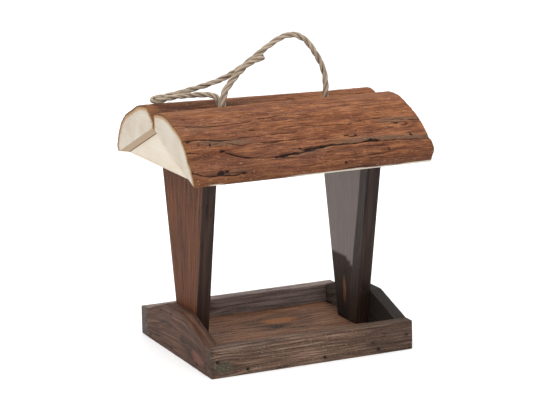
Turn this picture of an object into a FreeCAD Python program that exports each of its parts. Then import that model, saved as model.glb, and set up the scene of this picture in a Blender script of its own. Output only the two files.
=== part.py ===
import FreeCAD, Part
import math
import os

import Sketcher
from FreeCAD import Placement, Rotation, Vector

# Bird table: a nailed softwood tray, two tapered posts, and a roof of two bark slabs on gable wedges.
# Millimetres, +Z up, the origin under the middle of the tray, the long side along X, the front at -Y.

SIZES = [
    ("tray_length", 230, "length of the tray along X"),
    ("tray_width", 195, "width of the tray along Y, over both rails"),
    ("rail_height", 31.5, "height of the front and back rails"),
    ("rail_thick", 15, "thickness of the rails"),
    ("end_thick", 14, "thickness of the end boards, held between the rails"),
    ("end_height", 50, "height of the end boards at their raised middle"),
    ("end_flat", 54, "length of the flat top of the end boards"),
    ("floor_thick", 12, "thickness of the floor board"),
    ("post_thick", 15, "thickness of the posts"),
    ("post_foot_width", 42, "width of a post where it stands on the floor"),
    ("post_top_width", 117.5, "width of a post under the wedge"),
    ("post_height", 192.5, "height of a post above the floor board"),
    ("wedge_width", 166, "width of the gable wedges along Y"),
    ("wedge_rise", 33.5, "height of the gable wedges at the ridge"),
    ("roof_length", 265, "length of both roof slabs"),
    ("roof_shift", 5, "how far the roof sits to the right of the tray's middle"),
    ("front_slab_width", 105, "front slab, sawn face from the apex down to the eave"),
    ("front_slab_thick", 30.5, "front slab at its crest, bark included"),
    ("front_crest_top", 32, "front slab, start of its crest below the apex"),
    ("front_crest_length", 18, "front slab, length of its crest"),
    ("eave_edge_left", 1.5, "front slab at its left end, height of the edge at the eave"),
    ("eave_edge_right", 12.5, "the same at its right end"),
    ("eave_lean_left", 0.3, "front slab at its left end, lean of that edge"),
    ("eave_lean_right", 1.5, "the same at its right end"),
    ("crack_down_left", 84.5, "front slab at its left end, long crack below the apex"),
    ("crack_down_right", 98.5, "the same at its right end"),
    ("crack_height_left", 16.4, "front slab at its left end, bottom of the long crack above the sawn face"),
    ("crack_height_right", 17.8, "the same at its right end"),
    ("lip_width_left", 2.5, "front slab at its left end, raised bark from the crack to its lip"),
    ("lip_width_right", 6.4, "the same at its right end"),
    ("lip_height_left", 16.2, "front slab at its left end, lip of the raised bark above the sawn face"),
    ("lip_height_right", 16.8, "the same at its right end"),
    ("lip_rounding_left", 60, "front slab at its left end, raised bark from the eave to its lip"),
    ("lip_rounding_right", 10, "the same at its right end"),
    ("ridge_lap", 10, "how far the front slab laps over the back slab at the ridge"),
    ("ridge_edge_height", 14, "front slab, height of its edge along the ridge"),
    ("ridge_edge_lean", 5, "front slab, lean of that edge"),
    ("back_seat_width", 88, "back slab, sawn face that lies on the wedges"),
    ("back_slab_width", 122, "back slab, from the apex down to the eave"),
    ("back_thick_left", 39.5, "back slab at the left end of its crest, bark included"),
    ("back_thick_right", 36, "the same at its right end"),
    ("back_crest_top", 45, "back slab, start of its crest below the apex"),
    ("back_crest_length", 28, "back slab, length of its crest"),
    ("back_eave_lift", 8.5, "back slab, how far the underside is cut up at the eave"),
    ("back_eave_edge", 6, "back slab, height of the edge at the eave"),
    ("rope_diameter", 6, "jute rope"),
    ("rope_hole_back", 12, "rope holes, distance behind the apex"),
    ("right_hole_along", 70, "right rope hole, distance from the tray's middle along X"),
    ("right_hole_diameter", 8.5, "right rope hole, for one strand"),
    ("left_hole_along", 50.2, "left rope hole, distance from the tray's middle along -X"),
    ("left_hole_diameter", 14, "left rope hole, for two strands"),
    ("strand_spacing", 6.3, "distance between the two strands in the left hole, one behind the other"),
    ("right_knot_diameter", 14, "knot under the right hole"),
    ("left_knot_diameter", 19, "knot under the left hole"),
    ("knot_height", 11, "height of the knots"),
    ("knot_rounding", 3, "rounding of the knots' rims"),
    ("knot_gap", 3.2, "knots, distance below the underside of the slab at the hole's middle"),
    ("nail_diameter", 1.8, "shank of the nails"),
    ("nail_head_diameter", 3.2, "head of the nails"),
    ("nail_head_height", 1.2, "head of the nails"),
    ("rail_nail_length", 35, "nails through the rails and the end boards into the floor"),
    ("post_nail_length", 26, "nail through an end board into a post"),
    ("foot_nail_length", 35, "nails through the floor into the foot of a post"),
    ("wedge_nail_length", 35, "nails through a wedge into the top of a post"),
    ("slab_nail_length", 35, "nails through a wedge up into a slab"),
    ("floor_nail_height", 5.5, "nails into the floor, height above the ground"),
    ("front_nail_left", -75, "floor nails in the rails, place along X"),
    ("front_nail_middle", 12, "floor nails in the rails, place along X"),
    ("front_nail_right", 75, "floor nails in the rails, place along X"),
    ("corner_nail_height", 17, "nails through the rails into the end boards, height"),
    ("end_nail_front", -58, "floor nails in the end boards, place along Y"),
    ("end_nail_middle", 11, "floor nails in the end boards, place along Y"),
    ("end_nail_back", 70, "floor nails in the end boards, place along Y"),
    ("post_nail_height", 42.3, "nail through an end board into a post, height"),
    ("post_nail_back", 9.5, "nail through an end board into a post, place along Y"),
    ("foot_nail_spacing", 30, "foot nails, distance between the two"),
    ("wedge_nail_spacing", 90, "wedge nails, distance between the two"),
    ("wedge_nail_depth", 1.5, "wedge nails, depth of the head under the wedge's slope"),
    ("slab_nail_near", 20, "slab nails, place along Y of the one near the ridge"),
    ("slab_nail_far", 46, "slab nails, place along Y of the one near the eave"),
]

# The rope's route between its knots as points in millimetres: up out of the right hole, over the top of the
# loop, down to the fold on the back slab, and back beside its crest to the left hole.
HANDLE_ROUTE = [
    (70, 12, 250), (71.5, 12, 272), (68, 12, 289.5), (59.5, 12.3, 305), (50, 13, 318.5), (36.5, 14, 327),
    (20, 15.7, 324), (4, 18.5, 313), (-13, 23, 300), (-31, 29, 286.5), (-51, 35.5, 278), (-73, 42, 272.3),
    (-92, 46, 267.8), (-105.5, 47.5, 266.3), (-114.5, 44.5, 265.9), (-116, 37.2, 265), (-110, 32, 265.4),
    (-101, 31.5, 267.6), (-88, 33, 268.3), (-75, 32, 268.5), (-62.5, 27, 268.6), (-54, 20.3, 268.2),
    (-50.4, 15.6, 262), (-50.2, 15.15, 245.8),
]

# The rope's cut end between the left knot and its tip beside the handle.
TAIL_ROUTE = [
    (-50.2, 8.85, 246), (-50, 9.2, 261), (-47, 10, 273), (-36.5, 12.5, 284), (-25.5, 15.2, 293.3),
    (-14, 16, 301), (0, 13, 305.5),
]

HALF_LENGTH = "Sizes.tray_length / 2"
HALF_WIDTH = "Sizes.tray_width / 2"
INNER_HALF_LENGTH = "(Sizes.tray_length / 2 - Sizes.end_thick)"
INNER_HALF_WIDTH = "(Sizes.tray_width / 2 - Sizes.rail_thick)"
POST_INNER = "(Sizes.tray_length / 2 - Sizes.end_thick - Sizes.post_thick)"
WEDGE_BASE = "(Sizes.floor_thick + Sizes.post_height)"
APEX = "(Sizes.floor_thick + Sizes.post_height + Sizes.wedge_rise)"
ROOF_ANGLE = "atan(2 * Sizes.wedge_rise / Sizes.wedge_width)"
ROOF_SLOPE = "(2 * Sizes.wedge_rise / Sizes.wedge_width)"
ROOF_LEFT = "(Sizes.roof_shift - Sizes.roof_length / 2)"
ROOF_RIGHT = "(Sizes.roof_shift + Sizes.roof_length / 2)"
KNOT_TOP = "({0} - Sizes.rope_hole_back * {1} - Sizes.knot_gap)".format(APEX, ROOF_SLOPE)

doc = FreeCAD.newDocument("BirdTable")
pieces = []


def make_sizes():
    sheet = doc.addObject("Spreadsheet::Sheet", "Sizes")
    for row, (alias, value, note) in enumerate(SIZES, start=1):
        sheet.set("A%d" % row, alias.replace("_", " "))
        sheet.set("B%d" % row, str(value))
        sheet.set("C%d" % row, note)
        sheet.setAlias("B%d" % row, alias)
    doc.recompute()
    return sheet


sizes = make_sizes()


def worked_out(expression):
    value = sizes.evalExpression(expression)
    return float(getattr(value, "Value", value))


def bind(item, prop, expression):
    item.setExpression(prop, expression)


def place(item, along="0", across="0", up="0", rotation=None, angle=None):
    item.Placement = Placement(Vector(), rotation or Rotation())
    bind(item, "Placement.Base.x", along)
    bind(item, "Placement.Base.y", across)
    bind(item, "Placement.Base.z", up)
    if angle:
        item.Placement = Placement(Vector(), Rotation(Vector(1, 0, 0), 10))
        bind(item, "Placement.Rotation.Angle", angle)


def new_sketch(body, name, role, offset="0"):
    sketch = body.newObject("Sketcher::SketchObject", name)
    plane = [item for item in body.Origin.OriginFeatures if item.Role == role][0]
    sketch.AttachmentSupport = [(plane, "")]
    sketch.MapMode = "FlatFace"
    bind(sketch, "AttachmentOffset.Base.z", offset)
    return sketch


def hold_point(sketch, edge, end, across, up):
    for kind, expression in (("DistanceX", across), ("DistanceY", up)):
        value = worked_out(expression)
        index = sketch.addConstraint(Sketcher.Constraint(kind, -1, 1, edge, end, value))
        bind(sketch, "Constraints[%d]" % index, expression)


def bulging_arc(start, finish, radius):
    """Arc that bulges to the left of the way from start to finish."""
    chord = finish - start
    outwards = Vector(-chord.y, chord.x, 0).normalize()
    centre = (start + finish) / 2 - outwards * math.sqrt(radius ** 2 - (chord.Length / 2) ** 2)
    return Part.Arc(start, centre + outwards * radius, finish)


def draw_outline(sketch, corners):
    """Closed outline; each corner is (across, up) or (across, up, radius of the arc that follows it)."""
    points = [Vector(worked_out(corner[0]), worked_out(corner[1]), 0) for corner in corners]
    ends = []
    for edge, corner in enumerate(corners):
        start = points[edge]
        finish = points[(edge + 1) % len(points)]
        if len(corner) == 2:
            sketch.addGeometry(Part.LineSegment(start, finish))
            ends.append((1, 2))
        else:
            radius = worked_out(corner[2])
            sketch.addGeometry(bulging_arc(start, finish, radius))
            index = sketch.addConstraint(Sketcher.Constraint("Radius", edge, radius))
            bind(sketch, "Constraints[%d]" % index, corner[2])
            ends.append((2, 1))
    for edge, corner in enumerate(corners):
        before = (edge - 1) % len(corners)
        sketch.addConstraint(Sketcher.Constraint("Coincident", before, ends[before][1], edge, ends[edge][0]))
        hold_point(sketch, edge, ends[edge][0], corner[0], corner[1])


def draw_circles(sketch, places, diameter):
    for across, up in places:
        centre = Vector(worked_out(across), worked_out(up), 0)
        circle = sketch.addGeometry(Part.Circle(centre, Vector(0, 0, 1), worked_out(diameter) / 2))
        hold_point(sketch, circle, 3, across, up)
        size = sketch.addConstraint(Sketcher.Constraint("Diameter", circle, worked_out(diameter)))
        bind(sketch, "Constraints[%d]" % size, diameter)


def pad(body, sketch, name, length, downwards=False):
    feature = body.newObject("PartDesign::Pad", name)
    feature.Profile = sketch
    feature.Reversed = downwards
    bind(feature, "Length", length)
    return feature


def make_board(name, role, corners, length, **where):
    """Board whose outline lies on one plane of its own and whose thickness or length is padded from it."""
    body = doc.addObject("PartDesign::Body", name)
    sketch = new_sketch(body, name + "_outline", role)
    draw_outline(sketch, corners)
    pad(body, sketch, name + "_pad", length)
    place(body, **where)
    doc.recompute()
    return body


def make_nails(name, places, length, head_level="0", **where):
    """Group of nails side by side, heads flush at head_level, shanks down the group's own -Z."""
    body = doc.addObject("PartDesign::Body", name)
    shanks = new_sketch(body, name + "_shanks", "XY_Plane", head_level)
    draw_circles(shanks, places, "Sizes.nail_diameter")
    pad(body, shanks, name + "_shank_pad", length, downwards=True)
    heads = new_sketch(body, name + "_heads", "XY_Plane", head_level)
    draw_circles(heads, places, "Sizes.nail_head_diameter")
    pad(body, heads, name + "_head_pad", "Sizes.nail_head_height", downwards=True)
    place(body, **where)
    doc.recompute()
    return keep(body, name)


def cut_away(name, blank, cutters):
    """Piece that is left of its blank once the nails or the rope holes are taken out of it."""
    tool = doc.addObject("Part::Compound", name + "_holes")
    tool.Links = cutters
    cut = doc.addObject("Part::Cut", name + "_cut")
    cut.Base = blank
    cut.Tool = tool
    doc.recompute()
    return keep(cut, name)


def keep(item, name):
    if item.Label != name:
        for other in doc.getObjectsByLabel(name):
            other.Label = name + "_blank"
        item.Label = name
    pieces.append(item)
    return item


# Tray: two rails, two end boards between them, and the floor board inside.

def make_rail(name, lowest_y):
    outline = [
        ("-" + HALF_LENGTH, "0"),
        (HALF_LENGTH, "0"),
        (HALF_LENGTH, "Sizes.rail_thick"),
        ("-" + HALF_LENGTH, "Sizes.rail_thick"),
    ]
    return make_board(name, "XY_Plane", outline, "Sizes.rail_height", across=lowest_y)


def make_end_board(name, lowest_x):
    outline = [
        ("-" + INNER_HALF_WIDTH, "0"),
        (INNER_HALF_WIDTH, "0"),
        (INNER_HALF_WIDTH, "Sizes.rail_height"),
        ("Sizes.end_flat / 2", "Sizes.end_height"),
        ("-Sizes.end_flat / 2", "Sizes.end_height"),
        ("-" + INNER_HALF_WIDTH, "Sizes.rail_height"),
    ]
    return make_board(name, "YZ_Plane", outline, "Sizes.end_thick", along=lowest_x)


def make_floor_board():
    outline = [
        ("-" + INNER_HALF_LENGTH, "-" + INNER_HALF_WIDTH),
        (INNER_HALF_LENGTH, "-" + INNER_HALF_WIDTH),
        (INNER_HALF_LENGTH, INNER_HALF_WIDTH),
        ("-" + INNER_HALF_LENGTH, INNER_HALF_WIDTH),
    ]
    return make_board("floor_board", "XY_Plane", outline, "Sizes.floor_thick")


# Posts and gable wedges: each post stands on the floor against its end board, and its wedge sits on it and
# reaches from the post's inner face to the end of the roof.

def make_post(name, lowest_x):
    outline = [
        ("-Sizes.post_foot_width / 2", "0"),
        ("Sizes.post_foot_width / 2", "0"),
        ("Sizes.post_top_width / 2", "Sizes.post_height"),
        ("-Sizes.post_top_width / 2", "Sizes.post_height"),
    ]
    return make_board(name, "YZ_Plane", outline, "Sizes.post_thick", along=lowest_x, up="Sizes.floor_thick")


def make_wedge(name, lowest_x, highest_x):
    outline = [
        ("-Sizes.wedge_width / 2", "0"),
        ("Sizes.wedge_width / 2", "0"),
        ("0", "Sizes.wedge_rise"),
    ]
    thick = "{0} - {1}".format(highest_x, lowest_x)
    return make_board(name, "YZ_Plane", outline, thick, along=lowest_x, up=WEDGE_BASE)


# Roof slabs: each is drawn flat on its sawn face and then laid on its side of the wedges.

def rounding(chord_across, chord_up):
    """Radius of an arc that leaves a level crest and drops chord_up over chord_across."""
    return "(({0}) ^ 2 + ({1}) ^ 2) / (2 * ({1}))".format(chord_across, chord_up)


def front_outline(end):
    """Front slab's outline at one end: eave, raised bark up to the long crack, crest, and ridge."""
    edge, lean, crack_down, crack_height, lip_width, lip_height, lip_rounding = [
        "Sizes.%s_%s" % (size, end)
        for size in ("eave_edge", "eave_lean", "crack_down", "crack_height",
                     "lip_width", "lip_height", "lip_rounding")
    ]
    crest_end = "(Sizes.front_crest_top + Sizes.front_crest_length)"
    top_edge = "(Sizes.ridge_lap + Sizes.ridge_edge_lean)"
    to_crack = rounding("{0} - {1}".format(crack_down, crest_end),
                        "Sizes.front_slab_thick - " + crack_height)
    to_ridge = rounding("Sizes.front_crest_top + " + top_edge,
                        "Sizes.front_slab_thick - Sizes.ridge_edge_height")
    return [
        ("-Sizes.front_slab_width", "0"),
        ("-(Sizes.front_slab_width + {0})".format(lean), edge, lip_rounding),
        ("-({0} + {1})".format(crack_down, lip_width), lip_height),
        ("-" + crack_down, crack_height, to_crack),
        ("-" + crest_end, "Sizes.front_slab_thick"),
        ("-Sizes.front_crest_top", "Sizes.front_slab_thick", to_ridge),
        (top_edge, "Sizes.ridge_edge_height"),
        ("Sizes.ridge_lap", "0"),
    ]


def back_outline(end):
    """Back slab's outline at one end: ridge, crest, eave, underside cut up at the eave, and seat."""
    thick = "Sizes.back_thick_" + end
    ridge_across = "Sizes.ridge_lap * cos(2 * {0})".format(ROOF_ANGLE)
    ridge_up = "Sizes.ridge_lap * sin(2 * {0})".format(ROOF_ANGLE)
    crest_end = "(Sizes.back_crest_top + Sizes.back_crest_length)"
    eave_top = "(Sizes.back_eave_lift + Sizes.back_eave_edge)"
    to_ridge = rounding("Sizes.back_crest_top - " + ridge_across, "{0} - {1}".format(thick, ridge_up))
    to_eave = rounding("Sizes.back_slab_width - " + crest_end, "{0} - {1}".format(thick, eave_top))
    return [
        ("0", "0"),
        (ridge_across, ridge_up, to_ridge),
        ("Sizes.back_crest_top", thick),
        (crest_end, thick, to_eave),
        ("Sizes.back_slab_width", eave_top),
        ("Sizes.back_slab_width", "Sizes.back_eave_lift"),
        ("Sizes.back_seat_width", "0"),
    ]


def make_slab(name, outline_at, angle):
    """Slab drawn through its outlines at the left and the right end of the roof."""
    body = doc.addObject("PartDesign::Body", name)
    left_end = new_sketch(body, name + "_left_end", "YZ_Plane")
    draw_outline(left_end, outline_at("left"))
    right_end = new_sketch(body, name + "_right_end", "YZ_Plane", "Sizes.roof_length")
    draw_outline(right_end, outline_at("right"))
    loft = body.newObject("PartDesign::AdditiveLoft", name + "_loft")
    loft.Profile = left_end
    loft.Sections = [right_end]
    loft.Ruled = True
    place(body, along=ROOF_LEFT, up=APEX, angle=angle)
    doc.recompute()
    return body


def make_rope_hole(name, along, diameter):
    hole = doc.addObject("Part::Cylinder", name)
    bind(hole, "Radius", diameter + " / 2")
    bind(hole, "Height", "2 * Sizes.back_thick_left")
    place(hole, along=along, across="Sizes.rope_hole_back", up=APEX + " - Sizes.back_thick_left")
    return hole


# Nails, one group for each side that they are driven from.

FACING_FRONT = Rotation(Vector(1, 0, 0), Vector(0, 0, 1), Vector(0, -1, 0), "ZXY")
FACING_BACK = Rotation(Vector(-1, 0, 0), Vector(0, 0, 1), Vector(0, 1, 0), "ZXY")
FACING_LEFT = Rotation(Vector(0, -1, 0), Vector(0, 0, 1), Vector(-1, 0, 0), "ZXY")
FACING_RIGHT = Rotation(Vector(0, 1, 0), Vector(0, 0, 1), Vector(1, 0, 0), "ZXY")
FACING_DOWN = Rotation(Vector(1, 0, 0), Vector(0, -1, 0), Vector(0, 0, -1), "ZXY")


def make_rail_nails(name, turned, **where):
    corner = "(Sizes.tray_length - Sizes.end_thick) / 2"
    places = [
        ("Sizes.front_nail_left", "Sizes.floor_nail_height"),
        ("Sizes.front_nail_middle", "Sizes.floor_nail_height"),
        ("Sizes.front_nail_right", "Sizes.floor_nail_height"),
        ("-" + corner, "Sizes.corner_nail_height"),
        (corner, "Sizes.corner_nail_height"),
    ]
    return make_nails(name, places, "Sizes.rail_nail_length", rotation=turned, **where)


def make_end_nails(name, side, turned, **where):
    places = [
        (side + "Sizes.end_nail_front", "Sizes.floor_nail_height"),
        (side + "Sizes.end_nail_middle", "Sizes.floor_nail_height"),
        (side + "Sizes.end_nail_back", "Sizes.floor_nail_height"),
    ]
    return make_nails(name, places, "Sizes.rail_nail_length", rotation=turned, **where)


def make_post_nail(name, side, turned, **where):
    places = [(side + "Sizes.post_nail_back", "Sizes.post_nail_height")]
    return make_nails(name, places, "Sizes.post_nail_length", rotation=turned, **where)


def paired_places(along, across):
    return [("-" + along, "-" + across), ("-" + along, across), (along, "-" + across), (along, across)]


def make_foot_nails():
    middle = "({0} + Sizes.post_thick / 2)".format(POST_INNER)
    places = paired_places(middle, "Sizes.foot_nail_spacing / 2")
    return make_nails("post_foot_nails", places, "Sizes.foot_nail_length", rotation=FACING_DOWN)


def make_wedge_nails():
    middle = "({0} + Sizes.post_thick / 2)".format(POST_INNER)
    places = paired_places(middle, "Sizes.wedge_nail_spacing / 2")
    drop = "(Sizes.wedge_nail_spacing / 2 * {0} + Sizes.wedge_nail_depth)".format(ROOF_SLOPE)
    return make_nails("wedge_nails", places, "Sizes.wedge_nail_length", up=APEX + " - " + drop)


def make_slab_nails(name, side):
    """Nails driven up through the outer half of each wedge, where its underside is free of the post."""
    left = "({0} - {1}) / 2".format(ROOF_LEFT, INNER_HALF_LENGTH)
    right = "({0} + {1}) / 2".format(ROOF_RIGHT, INNER_HALF_LENGTH)
    places = [(along, side + across) for along in (left, right)
              for across in ("Sizes.slab_nail_near", "Sizes.slab_nail_far")]
    return make_nails(name, places, "Sizes.slab_nail_length", rotation=FACING_DOWN, up=WEDGE_BASE)


# Rope and its knots.

def round_the_corners(route):
    """Straight runs joined by arcs that touch them, each arc as large as its two runs allow."""
    points = [Vector(*point) for point in route]
    edges = []
    radii = []
    reached = points[0]
    for before, corner, after in zip(points, points[1:], points[2:]):
        way_in = (corner - before).normalize()
        way_out = (after - corner).normalize()
        turn = way_in.getAngle(way_out)
        share = 0.45 * min((corner - before).Length, (after - corner).Length)
        radius = share / math.tan(turn / 2)
        first = corner - way_in * share
        last = corner + way_out * share
        inwards = (way_out - way_in).normalize()
        centre = corner + inwards * (radius / math.cos(turn / 2))
        edges.append(Part.LineSegment(reached, first).toShape())
        edges.append(Part.Arc(first, centre - inwards * radius, last).toShape())
        radii.append(radius)
        reached = last
    edges.append(Part.LineSegment(reached, points[-1]).toShape())
    return Part.Wire(edges), radii


def on_knot(along, shift=""):
    across = "Sizes.rope_hole_back" + shift
    return tuple(worked_out(expression) for expression in (along, across, KNOT_TOP))


def make_rope(name, route):
    radius = worked_out("Sizes.rope_diameter / 2")
    path, radii = round_the_corners(route)
    start = Vector(*route[0])
    section = Part.Wire(Part.makeCircle(radius, start, Vector(*route[1]) - start))
    rope = doc.addObject("Part::Feature", name)
    rope.Shape = path.makePipeShell([section], True, False)
    expected = math.pi * radius ** 2 * path.Length
    print(name, "length %.1f" % path.Length, "volume share %.4f" % (rope.Shape.Volume / expected),
          "radii", [round(value, 1) for value in radii])
    return keep(rope, name)


def make_knot(name, along, diameter):
    """Barrel with rounded rims: half of its outline, turned about the hole's axis."""
    body = doc.addObject("PartDesign::Body", name)
    sketch = new_sketch(body, name + "_outline", "XZ_Plane")
    rim = "({0} / 2 - Sizes.knot_rounding)".format(diameter)
    draw_outline(sketch, [
        ("0", "0"),
        (rim, "0", "Sizes.knot_rounding * 1.0001"),
        (diameter + " / 2", "-Sizes.knot_rounding"),
        (diameter + " / 2", "Sizes.knot_rounding - Sizes.knot_height", "Sizes.knot_rounding * 1.0001"),
        (rim, "-Sizes.knot_height"),
        ("0", "-Sizes.knot_height"),
    ])
    turned = body.newObject("PartDesign::Revolution", name + "_turned")
    turned.Profile = sketch
    turned.ReferenceAxis = (sketch, ["V_Axis"])
    turned.Angle = 360
    place(body, along=along, across="Sizes.rope_hole_back", up=KNOT_TOP)
    doc.recompute()
    return keep(body, name)


def check_and_write():
    doc.recompute()
    for item in doc.Objects:
        if "Invalid" in item.State or "Error" in item.State:
            raise RuntimeError("%s is %s" % (item.Name, item.State))
    os.makedirs("parts", exist_ok=True)
    for item in pieces:
        shape = item.Shape
        if shape.isNull() or not shape.isValid() or not shape.Solids:
            raise RuntimeError("%s has no sound solid" % item.Label)
        shape.exportStep("parts/%s.step" % item.Label)
        print(item.Label, "solids", len(shape.Solids), "volume %.0f" % shape.Volume)


def main():
    left_post_x = "-" + INNER_HALF_LENGTH

    front_nails = make_rail_nails("front_rail_nails", FACING_FRONT, across="-" + HALF_WIDTH)
    back_nails = make_rail_nails("back_rail_nails", FACING_BACK, across=HALF_WIDTH)
    left_nails = make_end_nails("left_end_board_nails", "-", FACING_LEFT, along="-" + HALF_LENGTH)
    right_nails = make_end_nails("right_end_board_nails", "", FACING_RIGHT, along=HALF_LENGTH)
    left_post_nail = make_post_nail("left_post_nail", "-", FACING_LEFT, along="-" + HALF_LENGTH)
    right_post_nail = make_post_nail("right_post_nail", "", FACING_RIGHT, along=HALF_LENGTH)
    foot_nails = make_foot_nails()
    wedge_nails = make_wedge_nails()
    front_slab_nails = make_slab_nails("front_slab_nails", "")
    back_slab_nails = make_slab_nails("back_slab_nails", "-")

    front_rail = make_rail("front_rail", "-" + HALF_WIDTH)
    back_rail = make_rail("back_rail", INNER_HALF_WIDTH)
    left_end = make_end_board("left_end_board", "-" + HALF_LENGTH)
    right_end = make_end_board("right_end_board", INNER_HALF_LENGTH)
    floor = make_floor_board()
    left_post = make_post("left_post", left_post_x)
    right_post = make_post("right_post", POST_INNER)
    left_wedge = make_wedge("left_gable_wedge", ROOF_LEFT, "-" + POST_INNER)
    right_wedge = make_wedge("right_gable_wedge", POST_INNER, ROOF_RIGHT)

    cut_away("front_rail", front_rail, [front_nails])
    cut_away("back_rail", back_rail, [back_nails])
    cut_away("left_end_board", left_end, [left_nails, left_post_nail, front_nails, back_nails])
    cut_away("right_end_board", right_end, [right_nails, right_post_nail, front_nails, back_nails])
    cut_away("floor_board", floor, [front_nails, back_nails, left_nails, right_nails, foot_nails])
    cut_away("left_post", left_post, [left_post_nail, foot_nails, wedge_nails])
    cut_away("right_post", right_post, [right_post_nail, foot_nails, wedge_nails])
    cut_away("left_gable_wedge", left_wedge, [wedge_nails, front_slab_nails, back_slab_nails])
    cut_away("right_gable_wedge", right_wedge, [wedge_nails, front_slab_nails, back_slab_nails])

    right_hole_x = "Sizes.right_hole_along"
    left_hole_x = "-Sizes.left_hole_along"
    rope_holes = [
        make_rope_hole("right_rope_hole", right_hole_x, "Sizes.right_hole_diameter"),
        make_rope_hole("left_rope_hole", left_hole_x, "Sizes.left_hole_diameter"),
    ]
    front_slab = make_slab("front_roof_slab", front_outline, ROOF_ANGLE)
    back_slab = make_slab("back_roof_slab", back_outline, "-" + ROOF_ANGLE)
    cut_away("front_roof_slab", front_slab, [front_slab_nails] + rope_holes)
    cut_away("back_roof_slab", back_slab, [back_slab_nails] + rope_holes)

    handle_end = on_knot(left_hole_x, " + Sizes.strand_spacing / 2")
    tail_start = on_knot(left_hole_x, " - Sizes.strand_spacing / 2")
    make_rope("rope_handle", [on_knot(right_hole_x)] + HANDLE_ROUTE + [handle_end])
    make_rope("rope_tail", [tail_start] + TAIL_ROUTE)
    make_knot("right_rope_knot", right_hole_x, "Sizes.right_knot_diameter")
    make_knot("left_rope_knot", left_hole_x, "Sizes.left_knot_diameter")
    check_and_write()


main()
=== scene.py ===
import math

import bmesh
import bpy
import numpy as np
from mathutils import Matrix, Vector


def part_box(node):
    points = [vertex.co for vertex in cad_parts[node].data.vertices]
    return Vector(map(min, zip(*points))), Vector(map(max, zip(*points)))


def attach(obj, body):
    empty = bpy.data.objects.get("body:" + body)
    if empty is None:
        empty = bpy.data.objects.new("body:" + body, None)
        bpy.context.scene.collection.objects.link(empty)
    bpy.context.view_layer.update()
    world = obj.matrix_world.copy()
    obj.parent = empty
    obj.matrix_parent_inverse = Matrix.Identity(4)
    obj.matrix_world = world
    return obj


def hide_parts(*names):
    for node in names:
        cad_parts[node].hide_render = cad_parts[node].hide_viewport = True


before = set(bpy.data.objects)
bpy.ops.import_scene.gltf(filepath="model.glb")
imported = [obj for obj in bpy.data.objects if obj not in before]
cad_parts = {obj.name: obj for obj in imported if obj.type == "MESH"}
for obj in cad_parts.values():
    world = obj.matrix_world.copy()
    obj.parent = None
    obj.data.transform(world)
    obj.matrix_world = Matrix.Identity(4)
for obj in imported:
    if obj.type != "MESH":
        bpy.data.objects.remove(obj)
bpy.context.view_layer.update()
scene = bpy.context.scene

# Tray
# Five softwood boards under a thin dark stain that has weathered: a floor board, two end boards with a raised
# middle, and two rails nailed over their ends. They are sawn, so the hard lines of the grain stand proud.


def add_node(tree, kind, inputs, settings=None, output=0):
    """Adds a node, its settings first; each input is a value or another node's output."""
    made = tree.nodes.new(kind)
    for name, value in (settings or {}).items():
        setattr(made, name, value)
    for name, value in inputs.items():
        if isinstance(value, bpy.types.NodeSocket):
            tree.links.new(value, made.inputs[name])
        else:
            made.inputs[name].default_value = value
    return made.outputs[output] if made.outputs else None


def both_ways(operation):
    """Methods for a Math operation that has the wire first, and for one that has it second."""
    return (lambda wire, other: wire.maths(operation, wire, other),
            lambda wire, other: wire.maths(operation, other, wire))


class Wire:
    """A value in a material: arithmetic on it adds Math nodes, and Wire.node adds any other node."""

    __add__, __radd__ = both_ways("ADD")
    __sub__, __rsub__ = both_ways("SUBTRACT")
    __mul__, __rmul__ = both_ways("MULTIPLY")
    __truediv__, __rtruediv__ = both_ways("DIVIDE")
    __pow__, __rpow__ = both_ways("POWER")

    def __init__(self, socket):
        self.socket = socket
        self.tree = socket.id_data

    @staticmethod
    def node(tree, kind, settings, inputs, output=0):
        sockets = {name: value.socket if isinstance(value, Wire) else value for name, value in inputs.items()}
        return Wire(add_node(tree, kind, sockets, settings, output))

    def maths(self, operation, first, second=None):
        inputs = {0: first} if second is None else {0: first, 1: second}
        return Wire.node(self.tree, "ShaderNodeMath", {"operation": operation}, inputs)

    def __abs__(self):
        return self.maths("ABSOLUTE", self)

    def fraction(self):
        return self.maths("FRACT", self)

    def step(self, low, high):
        """0 under low, 1 over high, smooth between; low may be the higher one."""
        return Wire.node(self.tree, "ShaderNodeMapRange", {"interpolation_type": "SMOOTHSTEP"},
                         {0: self, 1: low, 2: high})

    def axis(self, index):
        return Wire.node(self.tree, "ShaderNodeSeparateXYZ", {}, {0: self}, index)

    def stretched(self, along, across, through, shift=(0, 0, 0)):
        return Wire.node(self.tree, "ShaderNodeVectorMath", {"operation": "MULTIPLY_ADD"},
                         {0: self, 1: (along, across, through), 2: shift})

    def noise(self, detail, rough=0.55, distortion=0.0):
        return Wire.node(self.tree, "ShaderNodeTexNoise", {},
                         {"Vector": self, "Scale": 1.0, "Detail": detail, "Roughness": rough,
                          "Distortion": distortion})

    def blend(self, first, second):
        """Colour mix with this value as its factor."""
        first, second = (color if isinstance(color, Wire) else (*color, 1) for color in (first, second))
        return Wire.node(self.tree, "ShaderNodeMix", {"data_type": "RGBA"}, {0: self, 6: first, 7: second}, 2)


def attribute(tree, name, output="Fac"):
    return Wire.node(tree, "ShaderNodeAttribute", {"attribute_name": name}, {}, output)


def object_place(tree):
    return Wire.node(tree, "ShaderNodeTexCoord", {}, {}, "Object")


def new_material(name):
    material = bpy.data.materials.new(name)
    material.use_nodes = True
    return material, material.node_tree


def shader_input(material, name):
    return material.node_tree.nodes["Principled BSDF"].inputs[name]


def painted(color, layers):
    """Colour under layers of (where, how strongly, colour), the last one on top."""
    for where, strength, over in layers:
        color = (where * strength).blend(color, over)
    return color


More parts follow.
